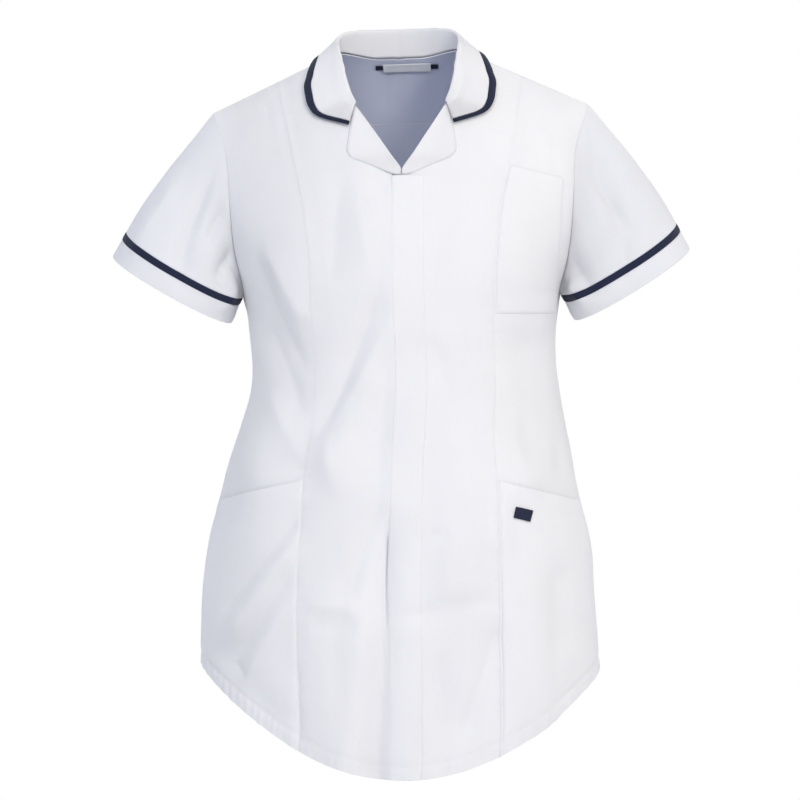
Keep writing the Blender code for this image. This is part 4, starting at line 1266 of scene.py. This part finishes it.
FLOOR_Z = -1.05
FLOOR_HALF = 6.0
pale, nodes, links, shader = new_material("pale_floor", 0.7)
shader.inputs["Base Color"].default_value = (0.86, 0.86, 0.87, 1)
texture = add_node(nodes, "TexNoise", Scale=300)
bump = add_node(nodes, "Bump", Distance=0.0002)
links.new(texture.outputs[0], bump.inputs["Height"])
links.new(bump.outputs[0], shader.inputs["Normal"])
corners = np.array([[-1, -1], [1, -1], [1, 1], [-1, 1]]) * FLOOR_HALF
floor = make_mesh("floor", np.c_[corners, np.full(4, FLOOR_Z)], np.array([[0, 1, 2, 3]]), pale)

LIGHT_FROM_LEFT = (0.57, 0.61, 0.76)
LIGHT_FROM_RIGHT = (0.76, 0.77, 0.82)
LIGHT_FROM_BEHIND = (1.0, 1.0, 1.0)
world = bpy.data.worlds.new("studio")
bpy.context.scene.world = world
world.use_nodes = True
nodes, links = world.node_tree.nodes, world.node_tree.links
background = nodes["Background"]
direction = add_node(nodes, "TexCoord")
split = add_node(nodes, "SeparateXYZ")
links.new(direction.outputs["Generated"], split.inputs[0])


def smooth_share(value, low, high):
    """Rises from 0 to 1 between these two values."""
    ramp = add_node(nodes, "MapRange", From_Min=low, From_Max=high)
    ramp.interpolation_type = "SMOOTHSTEP"
    links.new(value, ramp.inputs["Value"])
    return ramp.outputs[0]


def colour_blend(first, second, share):
    """A mix of two colours. Each is a value or the output of another mix."""
    mix = add_node(nodes, "Mix")
    mix.data_type = "RGBA"
    links.new(share, mix.inputs["Factor"])
    ends = [socket for socket in mix.inputs if socket.type == "RGBA"]
    for socket, colour in zip(ends, (first, second)):
        if isinstance(colour, tuple):
            socket.default_value = (*colour, 1)
        else:
            links.new(colour, socket)
    return [socket for socket in mix.outputs if socket.type == "RGBA"][0]


from_front = colour_blend(LIGHT_FROM_LEFT, LIGHT_FROM_RIGHT, smooth_share(split.outputs[0], -0.8, 0.8))
from_all_round = colour_blend(from_front, LIGHT_FROM_BEHIND, smooth_share(split.outputs[1], -0.1, 0.6))
links.new(from_all_round, background.inputs["Color"])
background.inputs["Strength"].default_value = 1.0


LIT_POINT = np.array([0.0, 0.0, -0.35])


def soft_light(name, place, power, colour):
    data = bpy.data.lights.new(name, "AREA")
    data.shape = "DISK"
    data.size = 1.1
    data.energy = power
    data.color = colour
    light = bpy.data.objects.new(name, data)
    light.location = place
    aim = LIT_POINT - np.array(place)
    light.rotation_euler = (math.atan2(math.hypot(aim[0], aim[1]), -aim[2]), 0, math.atan2(-aim[0], aim[1]))
    bpy.context.scene.collection.objects.link(light)


soft_light("key", (1.7, -3.5, 1.5), 46, (1.0, 0.94, 0.83))
soft_light("fill", (-1.0, -3.5, 1.9), 25, (1.0, 0.99, 0.95))
soft_light("top", (0.3, -2.2, 3.2), 18, (1.0, 0.94, 0.70))

CAMERA_AWAY = 20.0
FRAME_WIDTH = 0.856
FRAME_CENTRE = (-0.0011, -0.3638)
SENSOR = 36
camera_data = bpy.data.cameras.new("camera")
camera_data.sensor_width = SENSOR
camera_data.lens = SENSOR * CAMERA_AWAY / FRAME_WIDTH
camera_data.clip_start = 1
camera_data.clip_end = 100
camera = bpy.data.objects.new("camera", camera_data)
camera.location = (FRAME_CENTRE[0], -CAMERA_AWAY, FRAME_CENTRE[1])
camera.rotation_euler = (math.pi / 2, 0, 0)
bpy.context.scene.collection.objects.link(camera)
bpy.context.scene.camera = camera
bpy.context.scene.view_settings.view_transform = "Standard"
